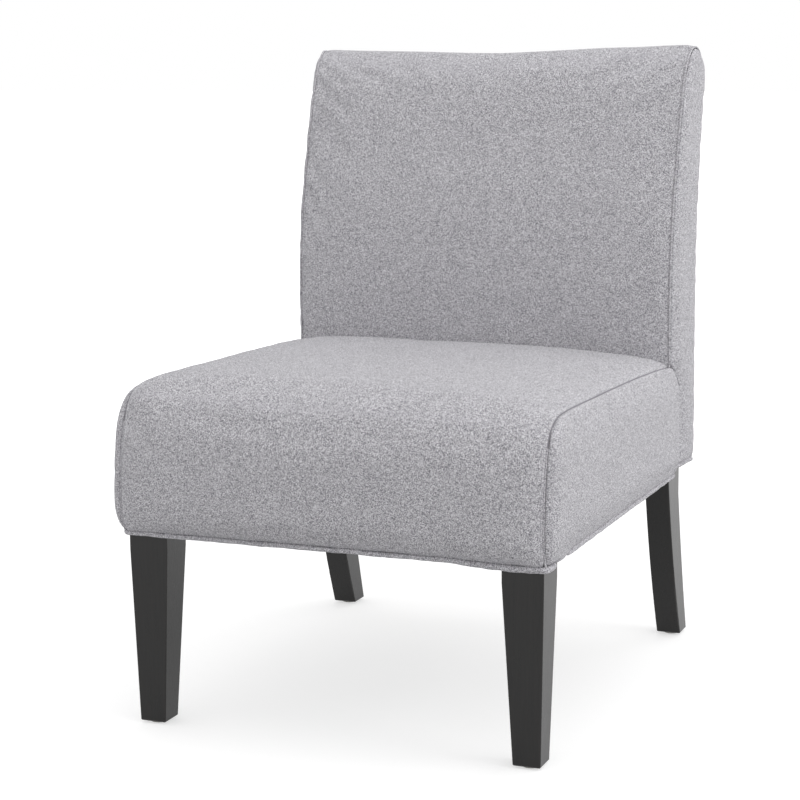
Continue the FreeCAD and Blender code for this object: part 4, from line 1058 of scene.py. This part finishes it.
def build_turned_edges(finishes):
    """The covers' ends, turned under the rails before the underside cloth goes on."""
    low, high, _, rear_x, _ = underside_plan()
    rail_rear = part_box("rear_rail")[1].y / MM
    strip_front, strip_rear = rail_rear - REAR_STRIP_IN, rail_rear + REAR_STRIP_OUT
    post = rear_x + NOTCH_GAP
    bottom, top = high.z - TURNED_BELOW, high.z + TURNED_ABOVE
    wide, narrow = SEAT_WELT_X - TURNED_LAP, high.x - TURNED_UNDER
    front, far = low.y + TURNED_UNDER, high.y - TURNED_UNDER
    strips = [
        slab(-wide, wide, SEAT_WELT_FRONT + TURNED_LAP, front, bottom, top),
        slab(-wide, -narrow, front, SEAT_WELT_REAR, bottom, top),
        slab(narrow, wide, front, SEAT_WELT_REAR, bottom, top),
        slab(-post, post, far, strip_front, bottom, top),
        slab(-post, post, strip_front, strip_rear, bottom, BACK_WELT_LEVEL + REAR_STRIP_RISE),
    ]
    plain_piece("cover_turned_edges", strips, finishes["linen"])


def build_dust_cover(finishes):
    """Black cloth, slack in the middle and notched round the four legs."""
    low, high, front_x, rear_x, front_cut = underside_plan()
    xs = lines_between([low.x, -rear_x, -front_x, front_x, rear_x, high.x], DUST_STEP)
    ys = lines_between([low.y, front_cut, REAR_NOTCH, high.y], DUST_STEP)
    points, faces = [], []
    for y in ys:
        for x in xs:
            inside = (1 - (x / high.x) ** 2) * (1 - ((2 * y - low.y - high.y) / (high.y - low.y)) ** 2)
            slack = DUST_SAG + noise.noise(Vector((x / 31.0, y / 27.0, 4.0)))
            points.append((x, y, high.z - DUST_GAP - slack * max(inside, 0.0) ** 0.8))
    for i, (near, far) in enumerate(zip(ys, ys[1:])):
        for j, (west, east) in enumerate(zip(xs, xs[1:])):
            middle_x, middle_y = abs(west + east) / 2, (near + far) / 2
            in_front = middle_y < front_cut and middle_x > front_x
            in_rear = middle_y > REAR_NOTCH and middle_x > rear_x
            if in_front or in_rear:
                continue
            a = i * len(xs) + j
            faces.append((a, a + len(xs), a + len(xs) + 1, a + 1))
    used = sorted({k for face in faces for k in face})
    number = {old: new for new, old in enumerate(used)}
    cloth = ([points[k] for k in used], [tuple(number[k] for k in face) for face in faces])
    piece = plain_piece("underside_cloth", [cloth], finishes["black_cloth"], ["dust_cover"])
    thick = piece.modifiers.new("thickness", "SOLIDIFY")
    thick.thickness = DUST_THICKNESS * MM
    thick.offset = 1.0


def build_staples(finishes):
    """Staples along the underside cloth's four edges, each turned a little off line."""
    low, high, front_x, _, front_cut = underside_plan()
    spots = []
    for x in np.arange(-front_x + 20, front_x - 10, STAPLE_PITCH):
        spots += [(x, low.y + STAPLE_INSET, 0.0), (x, high.y - STAPLE_INSET, 0.0)]
    for y in np.arange(front_cut + 15, REAR_NOTCH - 10, STAPLE_PITCH):
        spots += [(low.x + STAPLE_INSET, y, math.pi / 2), (high.x - STAPLE_INSET, y, math.pi / 2)]
    staples = []
    for x, y, turn in spots:
        turn += 0.25 * noise.noise(Vector((x / 13.0, y / 11.0, 8.0)))
        way = np.array((math.cos(turn), math.sin(turn), 0.0)) * STAPLE_WIDTH / 2
        middle = np.array((x, y, high.z - STAPLE_LEVEL))
        leg = np.array((0.0, 0.0, 1.0))
        path = [middle + leg - way, middle - way * 0.94, middle, middle + way * 0.94, middle + leg + way]
        staples.append(tube_mesh(path, STAPLE_WIRE, THREAD_SIDES))
    plain_piece("underside_staples", staples, finishes["zinc_steel"])


# Floor and lights

FLOOR_HALF = 30.0
FLOOR_SHOWN = 0.58
FLOOR_BOUNCE = 0.55
# The distances in metres between which the floor's own glow rises to plain white.
GLOW_FROM, GLOW_TO = 0.9, 2.4
WORLD_LIGHT = 0.95
LAMP_AIM = Vector((0.0, 0.0, 0.4))
# Name, place in metres, side of the square lamp and power in watts.
LAMPS = [
    ("key", (2.8, -0.2, 1.7), 1.8, 25.0),
    ("top", (0.1, 0.3, 3.2), 2.2, 10.5),
    ("side", (1.7, 3.2, 0.8), 2.0, 18.0),
]


def white_ground():
    """White to the camera and to glossy rays, with the object's shadow; plain white to the rest."""
    tree = Tree("floor_white")
    path = tree.add("ShaderNodeLightPath").outputs
    seen = tree.math("MAXIMUM", path["Is Camera Ray"], path["Is Glossy Ray"])
    seen = tree.math("MAXIMUM", seen, path["Is Transmission Ray"])
    far = tree.vector("LENGTH", tree.place((MM, MM, MM)))
    rise = tree.add(
        "ShaderNodeMapRange", {"interpolation_type": "SMOOTHSTEP"}, Value=far,
        From_Min=GLOW_FROM, From_Max=GLOW_TO, To_Min=FLOOR_SHOWN, To_Max=1.0)
    glow = tree.add("ShaderNodeEmission", Strength=tree.math("MULTIPLY", seen, rise.outputs[0]))
    matt = tree.add("ShaderNodeBsdfDiffuse", Color=solid((FLOOR_BOUNCE,) * 3))
    both = tree.add("ShaderNodeAddShader")
    tree.feed(both.inputs[0], glow.outputs[0])
    tree.feed(both.inputs[1], matt.outputs[0])
    tree.feed(tree.output.inputs[0], both.outputs[0])
    return tree.owner


def add_floor():
    corners = [(-1, -1, 0), (1, -1, 0), (1, 1, 0), (-1, 1, 0)]
    floor = new_object("floor", np.array(corners) * FLOOR_HALF, [(0, 1, 2, 3)])
    floor.data.materials.append(white_ground())


def add_world():
    tree = Tree("studio", "World")
    path = tree.add("ShaderNodeLightPath").outputs
    seen = tree.math("MAXIMUM", path["Is Camera Ray"], path["Is Glossy Ray"])
    strength = tree.add("ShaderNodeMapRange", Value=seen, To_Min=WORLD_LIGHT, To_Max=1.0).outputs[0]
    background = tree.add("ShaderNodeBackground", Color=(1.0, 1.0, 1.0, 1.0), Strength=strength)
    tree.feed(tree.output.inputs[0], background.outputs[0])
    bpy.context.scene.world = tree.owner


def add_lights():
    for name, place, size, power in LAMPS:
        data = bpy.data.lights.new(name, "AREA")
        data.shape = "RECTANGLE"
        data.size = size
        data.size_y = size
        data.energy = power
        lamp = bpy.data.objects.new(name, data)
        bpy.context.collection.objects.link(lamp)
        lamp.location = place
        lamp.rotation_euler = (LAMP_AIM - Vector(place)).to_track_quat("-Z", "Y").to_euler()


add_camera()
add_world()
add_floor()
add_lights()
bpy.context.scene.view_settings.view_transform = "Standard"
materials = dress_nodes()
seat_covers = build_seat_covers(materials)
build_seat_trim(materials)
build_corner_stitches(materials, seat_covers)
build_back_covers(materials)
build_back_trim(materials)
build_turned_edges(materials)
build_dust_cover(materials)
build_staples(materials)
